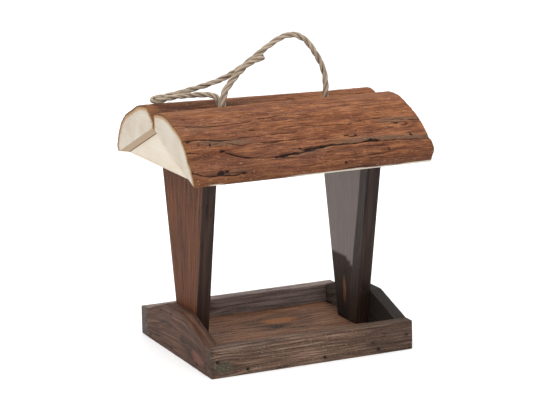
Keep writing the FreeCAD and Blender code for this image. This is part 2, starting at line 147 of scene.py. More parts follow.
def finished(material, color, roughness, relief, depth, shine):
    """Gives a material its colour, roughness, fine relief of a depth in metres, and shine."""
    tree = material.node_tree
    bump = Wire.node(tree, "ShaderNodeBump", {}, {"Strength": 1.0, "Distance": depth, "Height": relief})
    for name, value in (("Base Color", color), ("Roughness", roughness), ("Normal", bump)):
        tree.links.new(value.socket, shader_input(material, name))
    shader_input(material, "Specular IOR Level").default_value = shine
    return material


def darker(color, share):
    return tuple(value * share for value in color)


NAIL_RUST = (0.010, 0.006, 0.005)


def stained_wood(name, seed, colors, knots, rings, gloss=0.72, grey=0.35, late=0.8, shine=0.2, wander=3.4):
    """Softwood under stain, with so many year rings to the metre. The grain attribute is (along, across,
    through) in metres, colors are dark, middle and light, and knots are (along, across, radius, colour)."""
    material, tree = new_material(name)
    dark, mid, light = colors
    grain = attribute(tree, "grain", "Vector")
    along, across, through = (grain.axis(k) for k in range(3))
    pushed = across
    knot_layers = []
    for knot_along, knot_across, radius, heart_color in knots:
        off_along = (along - knot_along) * 0.5
        off_across = across - knot_across
        distance = (off_along * off_along + off_across * off_across) ** 0.5
        pushed = pushed - (distance / (radius * 3.4)).step(1.0, 0.0) * off_across * 0.8
        rough_edge = distance / radius + grain.stretched(110, 300, 300, (seed, 0, 0)).noise(4) * 1.2 - 0.35
        knot_layers += [(rough_edge.step(3.0, 1.2), 0.5, darker(dark, 0.7)),
                        (rough_edge.step(1.6, 0.8), 0.9, heart_color)]
    lines = Wire.node(tree, "ShaderNodeCombineXYZ", {}, {0: along, 1: pushed, 2: through})
    drift = lines.stretched(7, 38, 20, (seed, seed, 0)).noise(2, 0.5)
    ring = (pushed * rings + through * (rings * 0.45) + drift * wander + seed).fraction()
    late_wood = (ring ** 3) * lines.stretched(10, 90, 40, (1, seed, 3)).noise(3).step(0.28, 0.62)
    fibres = lines.stretched(34, 1300, 900, (seed, 5, seed)).noise(4, 0.62)
    strands = lines.stretched(16, 330, 260, (2, seed, 4)).noise(4, 0.6)
    blotches = grain.stretched(22, 34, 34, (3, seed, seed)).noise(4, 0.6)
    specks = grain.stretched(420, 900, 900, (seed, 9, 1)).noise(2, 0.6)
    splits = abs(lines.stretched(7, 95, 50, (7, seed, 2)).noise(2, 0.5, 0.25) - 0.5).step(0.011, 0.003)
    splits = splits * blotches.step(0.50, 0.60)
    greyed = tuple(0.5 * (value + sum(mid) / 3) for value in mid)
    color = painted((strands * 0.6 + fibres * 0.5).step(0.42, 0.62).blend(dark, mid), [
        (fibres.step(0.48, 0.62) * strands.step(0.44, 0.60), 0.8, light),
        (blotches.step(0.46, 0.70), grey, greyed),
        (late_wood, late, darker(dark, 0.5)),
        *knot_layers,
        (specks.step(0.60, 0.68), 0.6, light),
        (specks.step(0.40, 0.33), 0.35, dark),
        # The shade attribute also paints shade at the posts' feet and on the right end board in front of the
        # post.
        # The shade attribute darkens end grain, which soaks up more stain, and the front rail towards its
        # right end.
        (attribute(tree, "shade"), 1, darker(dark, 0.42)),
        (attribute(tree, "edge") * fibres.step(0.42, 0.60), 0.5, light),
        (attribute(tree, "stain"), 1, NAIL_RUST),
        (splits, 0.85, darker(dark, 0.3))])
    roughness = fibres * 0.22 + blotches * 0.16 + (gloss - 0.19)
    relief = strands * 0.35 + fibres * 0.4 + late_wood * 0.35 - splits * 1.3
    return finished(material, color, roughness, relief, depth=0.0007, shine=shine)


def lattice(x, y, seed):
    """Random values from 0 to 1 for whole-number places."""
    mixed = (x.astype(np.int64) * 374761393 + y.astype(np.int64) * 668265263 + seed * 974634777) & 0xFFFFFFFF
    mixed = ((mixed ^ (mixed >> 13)) * 1274126177) & 0xFFFFFFFF
    mixed = ((mixed ^ (mixed >> 16)) * 2246822519) & 0xFFFFFFFF
    return ((mixed ^ (mixed >> 15)) & 0xFFFFFF) / float(0xFFFFFF)


def ripple(x, y, seed, octaves):
    """Smooth noise from -1 to 1 on arrays; each further octave is twice as fine and half as strong."""
    total, strength, reach = 0.0, 1.0, 0.0
    for octave in range(octaves):
        whole_x, whole_y = np.floor(x), np.floor(y)
        u, v = (part * part * part * (part * (part * 6 - 15) + 10) for part in (x - whole_x, y - whole_y))
        low, high = (lattice(whole_x, whole_y + up, seed + octave) * (1 - u)
                     + lattice(whole_x + 1, whole_y + up, seed + octave) * u for up in (0, 1))
        total = total + strength * (low * (1 - v) + high * v - 0.5) * 2
        reach += strength
        strength *= 0.5
        x, y = x * 2.03 + 17.1, y * 2.03 + 5.7
    return total / reach


def faded(values, start, end):
    """0 before start and 1 past end, straight between them; start may be the higher one."""
    return np.clip((values - start) / (end - start), 0, 1)


def box_of(node):
    """Lowest and highest corner of a CAD node in metres."""
    return np.array([tuple(corner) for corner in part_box(node)])


def mesh_object(name, points, faces, attributes, material):
    mesh = bpy.data.meshes.new(name)
    mesh.from_pydata([tuple(point) for point in points], [], [tuple(face) for face in faces])
    for key, values in attributes.items():
        kind, field = ("FLOAT_VECTOR", "vector") if values.ndim == 2 else ("FLOAT", "value")
        mesh.attributes.new(key, kind, "POINT").data.foreach_set(field, values.astype(np.float32).ravel())
    mesh.materials.append(material)
    mesh.polygons.foreach_set("use_smooth", [True] * len(mesh.polygons))
    mesh.update()
    return placed_object(name, mesh)


def placed_object(name, data):
    made = bpy.data.objects.new(name, data)
    scene.collection.objects.link(made)
    return made


def take_place(made, node):
    """Rides on the object's one body in the place of a CAD node."""
    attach(made, "root")
    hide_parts(node)
    return made


EASED_EDGE = 0.0010
ALONG_PITCH, ACROSS_PITCH = 0.0036, 0.0012
CHIP_DEPTH = 0.0013


def grid_marks(length, pitch):
    """Grid lines along one side of a board, closer at its rounded edges."""
    flat = length - 2 * EASED_EDGE
    inner = np.linspace(EASED_EDGE, length - EASED_EDGE, max(2, int(round(flat / pitch)) + 1))
    return np.concatenate([[0, EASED_EDGE * 0.3], inner, [length - EASED_EDGE * 0.3, length]])


def gridded_box(lines):
    """Points and outward faces of a box that is divided at the marks of its three sides."""
    index, points, faces = {}, [], []

    def corner(spot):
        if spot not in index:
            index[spot] = len(points)
            points.append([lines[k][spot[k]] for k in range(3)])
        return index[spot]

    for axis in range(3):
        a, b = (axis + 1) % 3, (axis + 2) % 3
        for side in (0, len(lines[axis]) - 1):
            for i in range(len(lines[a]) - 1):
                for j in range(len(lines[b]) - 1):
                    ring = []
                    for step_a, step_b in ((0, 0), (1, 0), (1, 1), (0, 1)):
                        spot = [0, 0, 0]
                        spot[axis], spot[a], spot[b] = side, i + step_a, j + step_b
                        ring.append(corner(tuple(spot)))
                    faces.append(ring if side else ring[::-1])
    return np.array(points), faces


def sawn_board(node, piece, axes, material, seed, shape=lambda points, size: points, stains=(),
               relief=0.00014, extra=lambda world: {}):
    """Board with eased edges and raised grain in the CAD node's place. axes are along, across and through the
    grain, shape maps the plain box to the board's form, stains are (place, radius), extra adds attributes."""
    low, high = box_of(node)
    size = high - low
    pitches = [ALONG_PITCH if k == axes[0] else ACROSS_PITCH for k in range(3)]
    points, faces = gridded_box([grid_marks(size[k], pitches[k]) for k in range(3)])
    inner = np.clip(points, EASED_EDGE, size - EASED_EDGE)
    outwards = points - inner
    near_edge = (np.abs(outwards) > 1e-9).sum(axis=1) >= 2
    outwards /= np.maximum(np.linalg.norm(outwards, axis=1), 1e-12)[:, None]
    rounded = inner + outwards * EASED_EDGE
    local = rounded[:, list(axes)]
    along, across, through = local.T
    raised = ripple(along * 40, (across + through * 0.7) * 700, seed, 3)
    hollow = ripple(along * 18, (across + through) * 70, seed + 9, 2)
    chips = np.maximum(0, ripple(along * 110, (across - through) * 60, seed + 4, 3) - 0.22)
    push = -relief * (1 + raised) - relief * 0.6 * (1 + hollow) - near_edge * chips * CHIP_DEPTH
    world = shape(rounded + outwards * push[:, None], size) + low
    wear = np.clip(near_edge * (0.7 + 0.6 * ripple(along * 60, across * 60, seed + 2, 2)), 0, 1)
    stain = np.zeros(len(world))
    for spot, radius in stains:
        stain = np.maximum(stain, faded(np.linalg.norm(world - np.array(spot), axis=1) / radius, 1.5, 0.5))
    attributes = {"grain": local, "edge": wear, "stain": stain, **extra(world)}
    take_place(mesh_object(piece, world, faces, attributes, material), node)


def nail_parts(node):
    """Head's middle, driving direction and length of each nail in a CAD node."""
    shape = bmesh.new()
    shape.from_mesh(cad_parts[node].data)
    bmesh.ops.remove_doubles(shape, verts=shape.verts, dist=1e-6)
    left = dict.fromkeys(shape.verts)
    nails = []
    while left:
        reached, group = [left.popitem()[0]], []
        while reached:
            vertex = reached.pop()
            group.append(vertex.co.copy())
            for joined in vertex.link_edges:
                other = joined.other_vert(vertex)
                if other in left:
                    del left[other]
                    reached.append(other)
        points = np.array(group)
        low, high = points.min(axis=0), points.max(axis=0)
        axis = int(np.argmax(high - low))
        middle = (low + high) / 2
        spread = np.linalg.norm(np.delete(points - middle, axis, axis=1), axis=1)
        head_high = points[np.argmax(spread), axis] > middle[axis]
        head, way = middle.copy(), np.zeros(3)
        head[axis] = high[axis] if head_high else low[axis]
        way[axis] = -1 if head_high else 1
        nails.append((head, way, high[axis] - low[axis]))
    shape.free()
    return nails


def nail_stains(*nodes):
    """Places and radii of the dark stains round the heads of some nodes' nails."""
    return [(head, STAIN_RADIUS) for node in nodes for head, way, reach in nail_parts(node)]


STAIN_RADIUS = 0.0020
END_FLAT = 0.054
END_GRAIN = 0.0012
RAIL_DARKENS = (0.035, 0.075)
INNER_SKIN = 0.0008


def raised_middle(points, size):
    """End board: its top falls from the flat middle down to the rails' height."""
    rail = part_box("front_rail")[1].z
    across = np.abs(points[:, 1] - size[1] / 2)
    fall = faded(across, END_FLAT / 2, size[1] / 2) * (size[2] - rail)
    shaped = points.copy()
    shaped[:, 2] = points[:, 2] * (size[2] - fall) / size[2]
    return shaped


def dark_ends(world):
    """End grain soaks up more stain; the front rail also darkens towards its right end."""
    x, y = world[:, 0], world[:, 1]
    low, high = (corner.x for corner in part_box("front_rail"))
    end_grain = (x < low + END_GRAIN) | (x > high - END_GRAIN)
    towards_right = 0.50 * faded(x, *RAIL_DARKENS) * (y < 0)
    return {"shade": np.maximum(end_grain * np.where(y > 0, 0.85, 0.5), towards_right)}


def shaded_by_post(world):
    """Painted shade from the post: the right end board is nearly black on its inner face and top in front of
    it, brown elsewhere.
    """
    inner = world[:, 0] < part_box("right_end_board")[1].x - INNER_SKIN
    return {"shade": 0.94 * faded(world[:, 1], 0.022, 0.010) * inner}


TRAY_DARK = (0.046, 0.025, 0.017)
FLOOR_STAIN = (TRAY_DARK, (0.275, 0.122, 0.062), (0.42, 0.27, 0.18))
FRONT_STAIN = (TRAY_DARK, (0.128, 0.072, 0.045), (0.31, 0.21, 0.155))
BACK_STAIN = ((0.120, 0.090, 0.080), (0.27, 0.20, 0.178), (0.40, 0.325, 0.295))
LEFT_END_STAIN = ((0.026, 0.0125, 0.0075), (0.088, 0.039, 0.023), (0.18, 0.102, 0.068))
RIGHT_END_STAIN = ((0.034, 0.024, 0.019), (0.095, 0.066, 0.054), (0.17, 0.125, 0.105))
KNOT_DARK, KNOT_GREEN, KNOT_RED = (0.022, 0.014, 0.010), (0.050, 0.046, 0.028), (0.130, 0.052, 0.036)
KNOT_AMBER, KNOT_ORANGE = (0.20, 0.095, 0.040), (0.29, 0.115, 0.040)
FLOOR_KNOTS = [(0.109, 0.093, 0.0052, KNOT_DARK), (0.122, 0.115, 0.0105, KNOT_ORANGE)]
FRONT_KNOTS = [(0.014, 0.011, 0.0055, KNOT_GREEN), (0.183, 0.013, 0.0014, KNOT_DARK)]
BACK_KNOTS = [(0.07, 0.020, 0.0030, KNOT_DARK)]
LEFT_END_KNOTS = [(0.061, 0.022, 0.0024, KNOT_DARK), (0.0215, 0.0166, 0.0075, KNOT_RED)]
RIGHT_END_KNOTS = [(0.12, 0.020, 0.0030, KNOT_DARK)]

sawn_board("floor_board", "floor_planed_board", (0, 1, 2),
           stained_wood("floor_wood", 3.1, FLOOR_STAIN, FLOOR_KNOTS, rings=120, late=0.7, wander=2.2),
           seed=11)
rail_stains = nail_stains("front_rail_nails", "back_rail_nails")
sawn_board("front_rail", "front_rail_sawn", (0, 2, 1),
           stained_wood("front_rail_wood", 5.7, FRONT_STAIN, FRONT_KNOTS, rings=225, late=0.9, wander=1.5),
           seed=21, stains=rail_stains, extra=dark_ends)
sawn_board("back_rail", "back_rail_sawn", (0, 2, 1),
           stained_wood("back_rail_wood", 8.3, BACK_STAIN, BACK_KNOTS, rings=190),
           seed=31, stains=rail_stains, extra=dark_ends)
end_stains = nail_stains("left_end_board_nails", "right_end_board_nails", "left_post_nail", "right_post_nail")
sawn_board("left_end_board", "left_end_board_sawn", (1, 2, 0),
           stained_wood("left_end_wood", 11.9, LEFT_END_STAIN, LEFT_END_KNOTS, rings=90, late=0.45),
           seed=41, shape=raised_middle, stains=end_stains)
sawn_board("right_end_board", "right_end_board_sawn", (1, 2, 0),
           stained_wood("right_end_wood", 14.2, RIGHT_END_STAIN, RIGHT_END_KNOTS, rings=110),
           seed=51, shape=raised_middle, stains=end_stains, extra=shaded_by_post)

# Posts
# Two planed boards, narrow at the foot and wide under the roof, with a smoother red brown stain; their nearly
# black edges and darker feet are painted shade. Each stands on the floor against its end board and is nailed
# through both.

POST_FOOT = 0.042
SKIN, RIM_EDGE, RIM_FADE = 0.0006, 0.0009, 0.0007
POLISH_HEIGHT, POLISH_SLOPE, STRIP_WIDTH, STRIP_FADE = 0.0825, 0.33, 0.019, 0.002
# Painted shade darkens each post's foot, fading out between these heights.
DARK_FOOT = (0.052, 0.022)
# Painted shade: the posts' narrow faces and a strip beside the front one go nearly black.
SHADED_RIM_BLACK, SHADED_RIM_BROWN = (0.015, 0.009, 0.007), (0.042, 0.022, 0.016)
COAT_DARK, COAT_LIGHT = (0.090, 0.040, 0.026), (0.130, 0.066, 0.046)
LEFT_POST_STAIN = ((0.040, 0.012, 0.004), (0.106, 0.0315, 0.0095), (0.190, 0.066, 0.025))
# The right post's colours are its stain and painted shade together, much darker than the left one's, as it
# stands under the roof.
RIGHT_POST_SHADED_STAIN = ((0.016, 0.009, 0.007), (0.040, 0.021, 0.015), (0.070, 0.038, 0.027))
LEFT_POST_KNOTS = [(0.115, 0.072, 0.0045, (0.060, 0.022, 0.012))]
RIGHT_POST_KNOTS = [(0.032, 0.0660, 0.0075, KNOT_AMBER)]


def tapered(points, size):
    """Post: from its foot's width to its full width at the top."""
    foot = POST_FOOT / size[1]
    share = foot + (1 - foot) * points[:, 2] / size[2]
    shaped = points.copy()
    shaped[:, 1] = size[1] / 2 + (points[:, 1] - size[1] / 2) * share
    return shaped


def post_wood(name, seed, colors, knots):
    """Stained wood with edges darkened by painted shade, and a smooth thick coat of stain where the polish
    attribute is 1.
    """
    material = stained_wood(name, seed, colors, knots, rings=75, gloss=0.66, grey=0.5, late=0.22, shine=0.14)
    tree = material.node_tree
    color, rough = (Wire(shader_input(material, label).links[0].from_socket)
                    for label in ("Base Color", "Roughness"))
    rim, polished = attribute(tree, "rim"), attribute(tree, "polish")
    streaks = attribute(tree, "grain", "Vector").stretched(10, 220, 220, (seed, 1, 2)).noise(3)
    color = painted(color, [
        # Painted shade on the narrow faces and beside the front one.
        (rim, 0.96, streaks.step(0.35, 0.70).blend(SHADED_RIM_BLACK, SHADED_RIM_BROWN)),
        (attribute(tree, "edge") * streaks.step(0.42, 0.62), 0.5, colors[2]),
        (polished, 0.7, streaks.step(0.3, 0.7).blend(COAT_DARK, COAT_LIGHT))])
    for label, value in (("Base Color", color), ("Roughness", rough * (1 - rim * 0.3)),
                         ("Coat Weight", polished * 0.57)):
        tree.links.new(value.socket, shader_input(material, label))
    shader_input(material, "Coat Roughness").default_value = 0.10
    return material


def post_finish(side, foot_shade):
    """rim is 1 on the narrow faces and in a strip beside the front one, for painted shade; polish is 1 on the
    rest of the inner face, above a sloping line; shade darkens the foot as painted shade."""

    def given(world):
        x, y, z = world.T
        low, high = box_of(side + "_post")
        half = (POST_FOOT + (high[1] - low[1] - POST_FOOT) * faded(z, low[2], high[2])) / 2
        wavy = 0.0012 * (0.6 + 0.9 * ripple(z * 45, 0, 811, 3))
        rim = faded(np.abs(y) + wavy, half - RIM_EDGE, half - RIM_EDGE + RIM_FADE)
        inner = x > high[0] - SKIN if side == "left" else x < low[0] + SKIN
        line = POLISH_HEIGHT + POLISH_SLOPE * np.minimum(y - 0.006, 0) + 0.002 * ripple(y * 90, 0, 812, 2)
        strip = half - STRIP_WIDTH + 0.0012 * ripple(z * 30, 0, 813, 2)
        # The strip beside the front face is painted shade, where its rounded edge loses the reflection.
        beside = faded(-y, strip, strip + STRIP_FADE) * inner
        polish = inner * faded(z, line, line + STRIP_FADE) * (1 - beside)
        shade = foot_shade * faded(z, *DARK_FOOT)
        return {"rim": np.maximum(rim, beside * 0.8), "polish": polish, "shade": shade}

    return given


sawn_board("left_post", "left_post_planed", (2, 1, 0),
           post_wood("left_post_wood", 17.3, LEFT_POST_STAIN, LEFT_POST_KNOTS),
           seed=61, shape=tapered, relief=0.00005, extra=post_finish("left", foot_shade=0.25))
sawn_board("right_post", "right_post_planed", (2, 1, 0),
           post_wood("right_post_wood", 23.8, RIGHT_POST_SHADED_STAIN, RIGHT_POST_KNOTS),
           seed=71, shape=tapered, relief=0.00003, extra=post_finish("right", foot_shade=0.8))

# Gable wedges
# Two pale sawn blocks left without stain. Each is nailed down onto its post, carries both slabs on its slopes
# and reaches out to the sawn end of the roof.

WEDGE_LIGHT, WEDGE_DARK, WEDGE_SHADE = (0.60, 0.545, 0.465), (0.54, 0.455, 0.35), (0.46, 0.36, 0.25)
WEDGE_EDGE = 0.0007
WEDGE_END_INSET = 0.35 * WEDGE_EDGE / 0.012
WEDGE_CUTS, WEDGE_GAP, WEDGE_RINGS = 20, 0.0025, (0.25, 0.5, 0.75)


def capped(loops, core, shares):
    """Closed surface through one loop of points for each column; both ends close in rings that shrink to the
    core by given shares."""
    columns, count = loops.shape[:2]
    grid = np.arange(columns * count).reshape(columns, count)
    ahead = np.roll(grid, -1, axis=1)
    points = [loops.reshape(-1, 3)]
    faces = np.stack([grid[:-1], grid[1:], ahead[1:], ahead[:-1]], axis=-1).reshape(-1, 4).tolist()
    start = columns * count
    for column, way in ((0, 1), (columns - 1, -1)):
        outer = grid[column]
        middle = np.array([loops[column][0, 0], *core])
        for share in shares:
            points.append(loops[column] + (middle - loops[column]) * share)
            inner = np.arange(start, start + count)
            start += count
            ring = np.stack([outer, np.roll(outer, -1), np.roll(inner, -1), inner], axis=-1)
            faces += ring[:, ::way].tolist()
            outer = inner
        points.append(middle[None])
        faces += np.stack([outer, np.roll(outer, -1), np.full(count, start)], axis=-1)[:, ::way].tolist()
        start += 1
    return np.vstack(points), faces


def face_outwards(made, crease):
    """Turns a closed mesh the right way out, and keeps its edges over an angle in degrees sharp."""
    mesh = made.data
    shape = bmesh.new()
    shape.from_mesh(mesh)
    inside_out = shape.calc_volume(signed=True) < 0
    shape.free()
    if inside_out:
        mesh.flip_normals()
    mesh.set_sharp_from_angle(angle=math.radians(crease))
    return made


def spaced(points, gap):
    """Points about gap apart along a line of straight runs, its corners kept."""
    parts = []
    for start, end in zip(points, points[1:]):
        count = max(1, int(round(np.linalg.norm(end - start) / gap)))
        parts.append(start + (end - start) * (np.arange(count) / count)[:, None])
    return np.vstack(parts + [points[-1:]])


def pale_wood(name, seed):
    """Fresh sawn softwood; its grain attribute is (along, across, through) in metres."""
    material, tree = new_material(name)
    grain = attribute(tree, "grain", "Vector")
    fibres = grain.stretched(40, 900, 900, (seed, 0, 0)).noise(4, 0.6)
    clouds = grain.stretched(30, 60, 60, (0, seed, 0)).noise(3)
    rings = (grain.axis(1) * 260 + grain.stretched(9, 40, 30, (seed, 1, 0)).noise(2) * 3).fraction() ** 3
    color = painted((fibres * 0.5 + clouds * 0.5).step(0.35, 0.75).blend(WEDGE_LIGHT, WEDGE_DARK), [
        (rings, 0.3, WEDGE_DARK),
        (attribute(tree, "edge"), 0.4, WEDGE_SHADE)])
    return finished(material, color, fibres * 0.15 + 0.65, fibres + rings * 0.3, depth=0.0003, shine=0.25)


def sawn_wedge(node, piece, material):
    """Triangle with eased corners, drawn out along x over the CAD node's length."""
    low, high = box_of(node)
    foot = low[2] + WEDGE_EDGE * 0.4
    section = spaced(np.array([[0, high[2]], [high[1] - WEDGE_EDGE, foot], [high[1] - 3 * WEDGE_EDGE, low[2]],
                               [low[1] + 3 * WEDGE_EDGE, low[2]], [low[1] + WEDGE_EDGE, foot],
                               [0, high[2]]]), WEDGE_GAP)[:-1]
    cuts = np.linspace(low[0] + WEDGE_EDGE, high[0] - WEDGE_EDGE, WEDGE_CUTS)
    along = np.concatenate([[low[0]], cuts, [high[0]]])
    core = np.array([0.0, low[2] + (high[2] - low[2]) * 0.4])
    drawn_in = np.where((along == low[0]) | (along == high[0]), WEDGE_END_INSET, 0)
    flat = section[None] + (core - section)[None] * drawn_in[:, None, None]
    slope = high[2] - np.abs(flat[..., 0]) * (high[2] - low[2]) / high[1]
    flat[..., 1] = np.minimum(flat[..., 1], slope)
    loops = np.concatenate([np.broadcast_to(along[:, None, None], flat.shape[:2] + (1,)), flat], axis=-1)
    points, faces = capped(loops, core, WEDGE_RINGS)
    edge = np.zeros(len(points))
    edge[:len(section)] = edge[(len(along) - 1) * len(section):len(along) * len(section)] = 1
    made = mesh_object(piece, points, faces, {"grain": points[:, [1, 2, 0]], "edge": edge}, material)
    take_place(face_outwards(made, crease=40), node)


wedge_wood = pale_wood("wedge_pale_wood", 2.0)
sawn_wedge("left_gable_wedge", "left_sawn_wedge", wedge_wood)
sawn_wedge("right_gable_wedge", "right_sawn_wedge", wedge_wood)

# Roof slabs
# Two slabs sawn off the outside of a log with the bark left on, nailed from below onto the wedges; the front
# one laps over the back one at the ridge. Ends and undersides show the pale wood, dark at the bark's rim.

ROOF_LEFT, ROOF_RIGHT = box_of("front_roof_slab")[:, 0] * 1000
SEAT_LOW, SEAT_TOP = box_of("left_gable_wedge")[:, 2] * 1000
SEAT_SLOPE = (SEAT_TOP - SEAT_LOW) / (box_of("left_gable_wedge")[1, 1] * 1000)
RIDGE_CORNER = (9.3, 241.7)
ROPE_HOLES = ((70, 4.4), (-50.2, 6.6))
HOLE_ACROSS, HOLE_EDGE, HOLE_SHADOW = 12, 0.9, 1.6
TORN_AT, TORN_REACH = -104, (9.1, 2.1)
SAWN_EAVE, SAWN_FROM = (2.3, 1.8), (-30, -5)
HOLE_FLOOR_OVER_SEAT = {-1: 6, 1: 1.5}
COLUMNS, UNDERSIDE_GAP, RELIEF_FADE = 262, 7.0, 3
CRACK_TAPER, LIT_LIP_SHIFT, PIT_DEPTH = 5, 1.7, 1.3
RINGS_TO_MIDDLE = (0.012, 0.03, 0.06, 0.12, 0.25, 0.45, 0.7)

# Places on the bark are (x, s) in mm: x along the log, s round it from the eave up to the ridge. Cracks are
# (course, width, depth, seed), pits (place, length, width, depth), and weathered patches (place, size,
# firmness, strength, lean).
LONG_CRACK = [(-88, 35.6), (-75.5, 30), (-62, 26.5), (-48.5, 24.6), (-24.5, 24.8), (0.5, 27.6), (26, 31.8),
              (50.5, 31.5), (75.5, 32.4), (100, 31.4), (138, 29.0)]
FRONT_CRACKS = [
    (LONG_CRACK, 0.85, 1.0, 311),
    ([(-40, 24.3), (-24, 25.2), (-10, 27.5)], 1.5, 1.0, 313),
    ([(-6, 29), (20, 32), (30, 33)], 1.3, 0.8, 315),
    ([(62, 32.6), (74, 33.4), (84, 32.6)], 1.7, 0.9, 317),
    ([(-27.5, 58.5), (-2.5, 60.7), (12, 60), (35.5, 58), (55.5, 57.6), (69.5, 61.5), (88, 63.1), (109, 59.7),
      (138, 56.3)], 0.5, 0.75, 321),
    ([(-3, 70.9), (13.5, 75.1), (36, 81), (49.5, 83.4), (72.5, 84.4)], 0.45, 0.6, 331),
    ([(-128, 52), (-111, 52.5), (-93, 50.2), (-74, 48)], 0.8, 0.95, 341),
    ([(-84, 45), (-67.5, 40.6), (-57.5, 43.2)], 0.6, 0.7, 346),
    ([(-51, 43.6), (-39, 41.3), (-15, 43), (6, 44)], 0.6, 0.8, 349),
    ([(-128, 79), (-105, 74), (-94, 71.2), (-86, 73), (-62.5, 74.4), (-40, 77)], 0.6, 0.8, 351),
    ([(-127, 38), (-112, 36.3)], 0.6, 0.7, 361),
    ([(-128, 15.6), (-110, 9.8), (-98, 10.7), (-84, 8.4), (-74, 10)], 0.65, 0.85, 371),
    ([(-93, 12.5), (-80, 11.5), (-68, 11)], 0.6, 0.7, 381),
    ([(-36, 50.8), (-20, 52), (0, 52.5)], 0.6, 0.6, 391),
    ([(20, 14), (60, 15.5), (95, 18)], 0.6, 0.45, 396),
    ([(-118, 91), (-80, 90), (-45, 93), (-10, 91)], 0.6, 0.5, 399),
    ([(10, 99), (60, 101), (110, 98)], 0.55, 0.5, 403)]
BACK_CRACKS = [
    ([(-128, 30), (-90, 33), (-40, 31), (20, 36), (80, 34), (138, 37)], 0.9, 0.95, 511),
    ([(-128, 62), (-70, 58), (-10, 61), (60, 57), (138, 60)], 0.8, 0.85, 521),
    ([(-100, 84), (-60, 86), (-10, 83)], 0.7, 0.7, 531),
    ([(10, 88), (60, 86), (120, 89)], 0.7, 0.7, 541),
    ([(-128, 17), (-80, 15), (-20, 18)], 0.7, 0.7, 551)]
FRONT_PITS = [
    ((-97, 12.5), 4.6, 2.9, 1.0), ((-90.5, 13.6), 2.6, 2.0, 1.0), ((-73, 10.5), 3.0, 1.4, 0.85),
    ((-100.5, 44.8), 2.2, 1.9, 0.9), ((-90, 36.6), 3.6, 1.5, 0.95), ((109, 54.8), 3.4, 1.2, 1.0),
    ((119, 37.2), 2.0, 1.4, 0.9), ((88, 20.5), 1.7, 1.8, 0.8), ((38, 11), 2.4, 1.6, 0.9),
    ((-23.5, 24.8), 2.0, 1.3, 1.0), ((47.5, 42.2), 4.2, 1.0, 0.95), ((58.5, 41.8), 2.2, 1.7, 0.9),
    ((54, 40), 5.5, 1.1, 0.6), ((72.5, 34), 3.4, 2.2, 1.0), ((-7, 31.5), 3.6, 1.4, 0.8),
    ((3, 30), 4.5, 2.6, 0.7), ((17, 31), 3.5, 2.2, 0.75), ((-122.5, 50.5), 2.6, 1.5, 0.85),
    ((-112, 46.5), 1.2, 3.4, 0.6), ((-115, 74.5), 3.4, 1.0, 0.5), ((38, 94), 1.3, 1.0, 0.9)]
WEATHERED = [
    ((-84, 46.5), (38, 5.2), 2.2, 1, 0.06), ((112, 59), (34, 7), 1.6, 0.8, 0),
    ((-108, 70), (26, 9), 1.3, 0.5, 0), ((-88, 12), (30, 4.5), 1.4, 0.75, 0)]


def end_outline(node, x, middle, way):
    """The CAD slab's outline at one end, from the eave's lowest corner over the bark and back."""
    corners = np.array([vertex.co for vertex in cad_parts[node].data.vertices])
    corners = np.unique((corners[np.abs(corners[:, 0] - x / 1000) < 1e-5][:, 1:] * 1000).round(2), axis=0)
    angle = np.arctan2(corners[:, 1] - middle[1], corners[:, 0] - middle[0])
    corners = corners[np.argsort(way * angle)]
    return np.roll(corners, -int(np.argmin(corners[:, 1])), axis=0)


def reach_along(lines):
    """Length run at each point of a line, or of each line in an array of them."""
    steps = np.linalg.norm(np.diff(lines, axis=-2), axis=-1)
    return np.concatenate([np.zeros(steps.shape[:-1] + (1,)), np.cumsum(steps, axis=-1)], axis=-1)


def points_at(places, line):
    """Points of a line at given lengths from its start."""
    reach = reach_along(line)
    return np.stack([np.interp(places, reach, values) for values in line.T], axis=1)


def rows_between(outline, keys, counts):
    """Points along an outline, spread evenly between its key points."""
    picks = [int(np.argmin(np.linalg.norm(outline - np.array(key), axis=1))) for key in keys]
    rows = []
    for start, end, count in zip(picks, picks[1:], counts):
        part = outline[start:end + 1]
        rows.append(points_at(np.linspace(0, reach_along(part)[-1], count, endpoint=False), part))
    return np.vstack(rows + [outline[picks[-1]:picks[-1] + 1]])


def crack(x, s, course, width, seed):
    """Share of a crack's depth near its course; it wanders a little and thins out at both ends."""
    places = np.array(course, float)
    middle = np.interp(x, places[:, 0], places[:, 1])
    middle = middle + 0.5 * ripple(x / 5, 0, seed, 3) + 0.5 * ripple(x / 14, 0, seed + 5, 2)
    swelling = width * (1.25 + 0.8 * ripple(x / 6, 0, seed + 9, 2))
    start, end = places[0, 0], places[-1, 0]
    inside = np.clip((x - start) / CRACK_TAPER + (start < ROOF_LEFT + 2), 0, 1)
    inside = inside * np.clip((end - x) / CRACK_TAPER + (end > ROOF_RIGHT - 2), 0, 1)
    swelling = np.maximum(swelling * inside, 0.01)
    return np.clip(1.6 * (1 - np.abs(s - middle) / swelling), 0, 1)


def oval(x, s, place, size, firmness):
    """1 in the middle of an oval, 0 outside it; a firm one has a sharp edge."""
    return np.clip(firmness * (1 - np.hypot((x - place[0]) / size[0], (s - place[1]) / size[1])), 0, 1)


